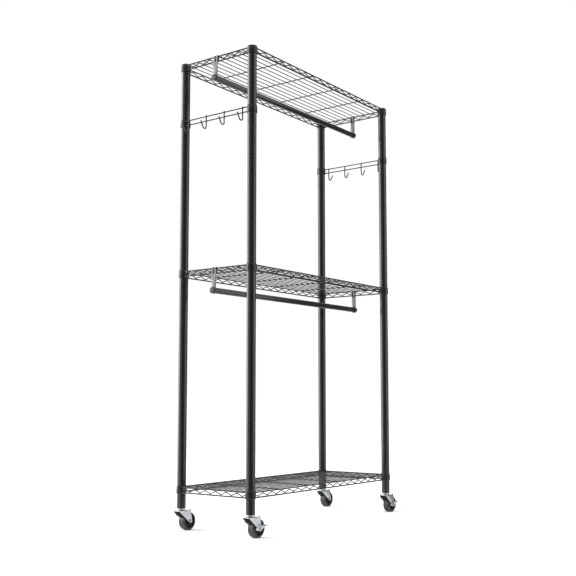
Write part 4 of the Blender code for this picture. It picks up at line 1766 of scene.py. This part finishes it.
    def build(self, plan: RackPlan) -> None:
        """Puts the caster in place under its post.

        Args:
            plan: places and sizes that the sub-assemblies share.
        """
        word = self.corner.word
        foot = plan.post(self.corner)
        hub = foot + Vector((self.trail, 0, self.wheel_radius))
        turning = f"caster_{word}"
        plan.put(f"bearing_head_{word}", self.stem_mesh(plan), [ZINC_TURNED], FRAME_BODY,
                 [f"stem_{word}"], foot)
        plan.put(f"pressed_fork_{word}", self.fork_mesh(), [ZINC], turning,
                 [f"fork_{word}"], foot)
        plan.put(f"moulded_toe_guard_{word}", self.guard_mesh(), [GUARD_PLASTIC], turning,
                 [f"toe_guard_{word}"], foot)
        plan.put(f"axle_bolt_{word}", self.axle_mesh(), [ZINC_TURNED], turning,
                 [f"axle_{word}"], hub)
        plan.put(f"tyred_wheel_{word}", self.wheel_mesh(), [HUB_PLASTIC_WITH_PAINTED_SHADE, TYRE_RUBBER],
                 f"wheel_body_{word}", [f"wheel_{word}"], hub)
        if self.corner.braked:
            plan.put(f"stamped_brake_lever_{word}", self.lever_mesh(), [ZINC], f"lever_{word}",
                     [f"brake_lever_{word}"], hub)


# ---------------------------------------------------------------- studio


@dataclass(frozen=True)
class Softbox:
    """A rectangular soft light that faces the rack.

    Attributes:
        name: its name.
        place: its middle.
        size: width and height.
        power: in watts.
    """

    name: str
    place: Point3
    size: Point2
    power: float

    def build(self, target: Vector) -> None:
        """Hangs the light and turns it to the target.

        Args:
            target: the point that it faces.
        """
        data = bpy.data.lights.new(self.name, "AREA")
        data.shape = "RECTANGLE"
        data.size, data.size_y = self.size
        data.energy = self.power
        light = bpy.data.objects.new(self.name, data)
        bpy.context.scene.collection.objects.link(light)
        light.location = self.place
        light.rotation_euler = (target - Vector(self.place)).to_track_quat("-Z", "Y").to_euler()
        light.visible_camera = False
        LOG.info("light %s, %.0f W", self.name, self.power)


@dataclass(frozen=True)
class Studio:
    """Floor, lights, surroundings and camera.

    Attributes:
        surround: radiance of the surroundings.
        floor_tone: colour of the floor.
        lens: focal length in millimetres.
        sensor: sensor width in millimetres.
        eye: the camera's place.
        pitch: how far the camera looks up, in degrees.
        heading: its turn about Z, in degrees.
        shift: the lens's upward shift, in frame widths.
        boxes: the soft lights.
        overhead: strength of the wide light from above.
        overhead_angle: how wide that light is, in degrees.
        floor_reach: middle to edge of the floor.
        cloths: first and last angle of each grey cloth, from straight behind the camera.
        cloth_start: distance of the cloths' lower edge on the floor from the middle.
        cloth_radius: distance of their upright part from the middle.
        cloth_span: lowest and highest point of the upright part.
        cloth_tone: their darker colour.
        folds: facets of each cloth.
    """

    surround: float = 1.02
    floor_tone: str = "f7f7f6"
    lens: float = 57.78
    sensor: float = 36.0
    eye: Point3 = (-3.4373, -2.5122, 0.5585)
    pitch: float = 5.64
    heading: float = -53.521
    shift: float = 0.03
    boxes: tuple[Softbox, ...] = (
        Softbox("left_softbox", (-2.0, 3.7, 2.2), (3.4, 4.4), 285.0),
        Softbox("right_softbox", (2.1, -3.7, 2.2), (2.4, 4.4), 48.0),
    )
    overhead: float = 0.6
    overhead_angle: float = 120.0
    floor_reach: float = 400.0
    cloths: tuple[Point2, ...] = ((-28.0, 40.0), (101.0, 165.0))
    cloth_start: float = 0.9
    cloth_radius: float = 5.4
    cloth_span: Point2 = (0.01, 5.0)
    cloth_tone: str = "343434"
    folds: int = 12

    def add_floor(self) -> None:
        """Lays a wide pale floor."""
        shape = Shape()
        reach = self.floor_reach
        shape.points = [Vector((x * reach, y * reach, 0))
                        for x, y in ((-1, -1), (1, -1), (1, 1), (-1, 1))]
        shape.faces = [(0, 1, 2, 3)]
        shape.paints = [0]
        mesh = shape.mesh("floor")
        # Matt painted screed: pale, with hardly any drift in tone.
        paint = Finish("screed_matt_painted_white", self.floor_tone, "f2f2f1", 0.8, (0.75, 0.85),
                       grain=0.004, relief=0.00002, rough_patch=0.3)
        mesh.materials.append(paint.material())
        floor = bpy.data.objects.new("floor", mesh)
        bpy.context.scene.collection.objects.link(floor)

    def add_cloth(self, name: str, start: float, end: float) -> None:
        """Hangs a grey cloth round the rack and over the floor, for the coating to mirror.

        Args:
            name: the cloth's name.
            start: its first angle from straight behind the camera, rightward, in degrees.
            end: its last angle.
        """
        turn = math.radians(self.heading)
        ahead = Vector((-math.sin(turn), math.cos(turn), 0.0))
        right = Vector((ahead.y, -ahead.x, 0.0))
        shape = Shape()
        radius = self.cloth_radius
        low, high = (Vector((0, 0, z)) for z in self.cloth_span)
        for k in range(self.folds + 1):
            bend = math.radians(start + (end - start) * k / self.folds)
            spot = right * (radius * math.sin(bend)) - ahead * (radius * math.cos(bend))
            shape.points += [spot + low, spot + high, spot * (self.cloth_start / radius) + low]
        for k in range(self.folds):
            front, rear = 3 * k, 3 * k + 3
            shape.faces += [(front, rear, rear + 1, front + 1), (front + 2, rear + 2, rear, front)]
            shape.paints += [0, 0]
        mesh = shape.mesh(name)
        # Grey wool felt: dull, so that the coating mirrors an even dark tone.
        mesh.materials.append(Finish("wool_felt_dyed_grey", self.cloth_tone, "7a7a7a", 0.2,
                                     (0.9, 1.0), grain=0.002, relief=0.0002).material())
        flag = bpy.data.objects.new(name, mesh)
        bpy.context.scene.collection.objects.link(flag)
        flag.visible_camera = False
        flag.visible_shadow = False
        flag.visible_diffuse = False

    def add_overhead(self) -> None:
        """Adds a wide soft light from straight above, even over the whole floor."""
        data = bpy.data.lights.new("overhead", "SUN")
        data.energy = self.overhead
        data.angle = math.radians(self.overhead_angle)
        light = bpy.data.objects.new("overhead", data)
        bpy.context.scene.collection.objects.link(light)

    def add_surroundings(self) -> None:
        """Lights the whole scene evenly from all round."""
        world = bpy.data.worlds.new("surroundings")
        bpy.context.scene.world = world
        world.use_nodes = True
        background = world.node_tree.nodes["Background"]
        background.inputs["Color"].default_value = (1.0, 1.0, 1.0, 1.0)
        background.inputs["Strength"].default_value = self.surround

    def add_camera(self) -> None:
        """Sets up the camera."""
        data = bpy.data.cameras.new("camera")
        data.lens = self.lens
        data.sensor_width = self.sensor
        data.shift_y = self.shift
        data.clip_end = 2000.0
        camera = bpy.data.objects.new("camera", data)
        bpy.context.scene.collection.objects.link(camera)
        camera.location = self.eye
        camera.rotation_euler = (math.radians(90 + self.pitch), 0.0, math.radians(self.heading))
        bpy.context.scene.camera = camera

    def build(self) -> None:
        """Sets up everything round the rack."""
        self.add_floor()
        for number, (start, end) in enumerate(self.cloths, 1):
            self.add_cloth(f"grey_cloth_{number}", start, end)
        self.add_overhead()
        self.add_surroundings()
        for box in self.boxes:
            box.build(Vector((0, 0, 1.0)))
        self.add_camera()
        bpy.context.scene.view_settings.view_transform = "Standard"


def main() -> None:
    """Builds the rack, then the studio round it."""
    logging.basicConfig(level=logging.INFO, format="%(message)s", force=True)
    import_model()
    plan = RackPlan.from_frame()
    Posts().build(plan)
    collar = Collar()
    for level in Level:
        WireShelf(collar, level).build(plan)
    for side in Side:
        HookRail(collar, side).build(plan)
    HangingRod("upper", Level.TOP).build(plan)
    HangingRod("lower", Level.MIDDLE).build(plan)
    for corner in Corner:
        Caster(corner).build(plan)
    Studio().build()


if __name__ == "__main__":
    main()
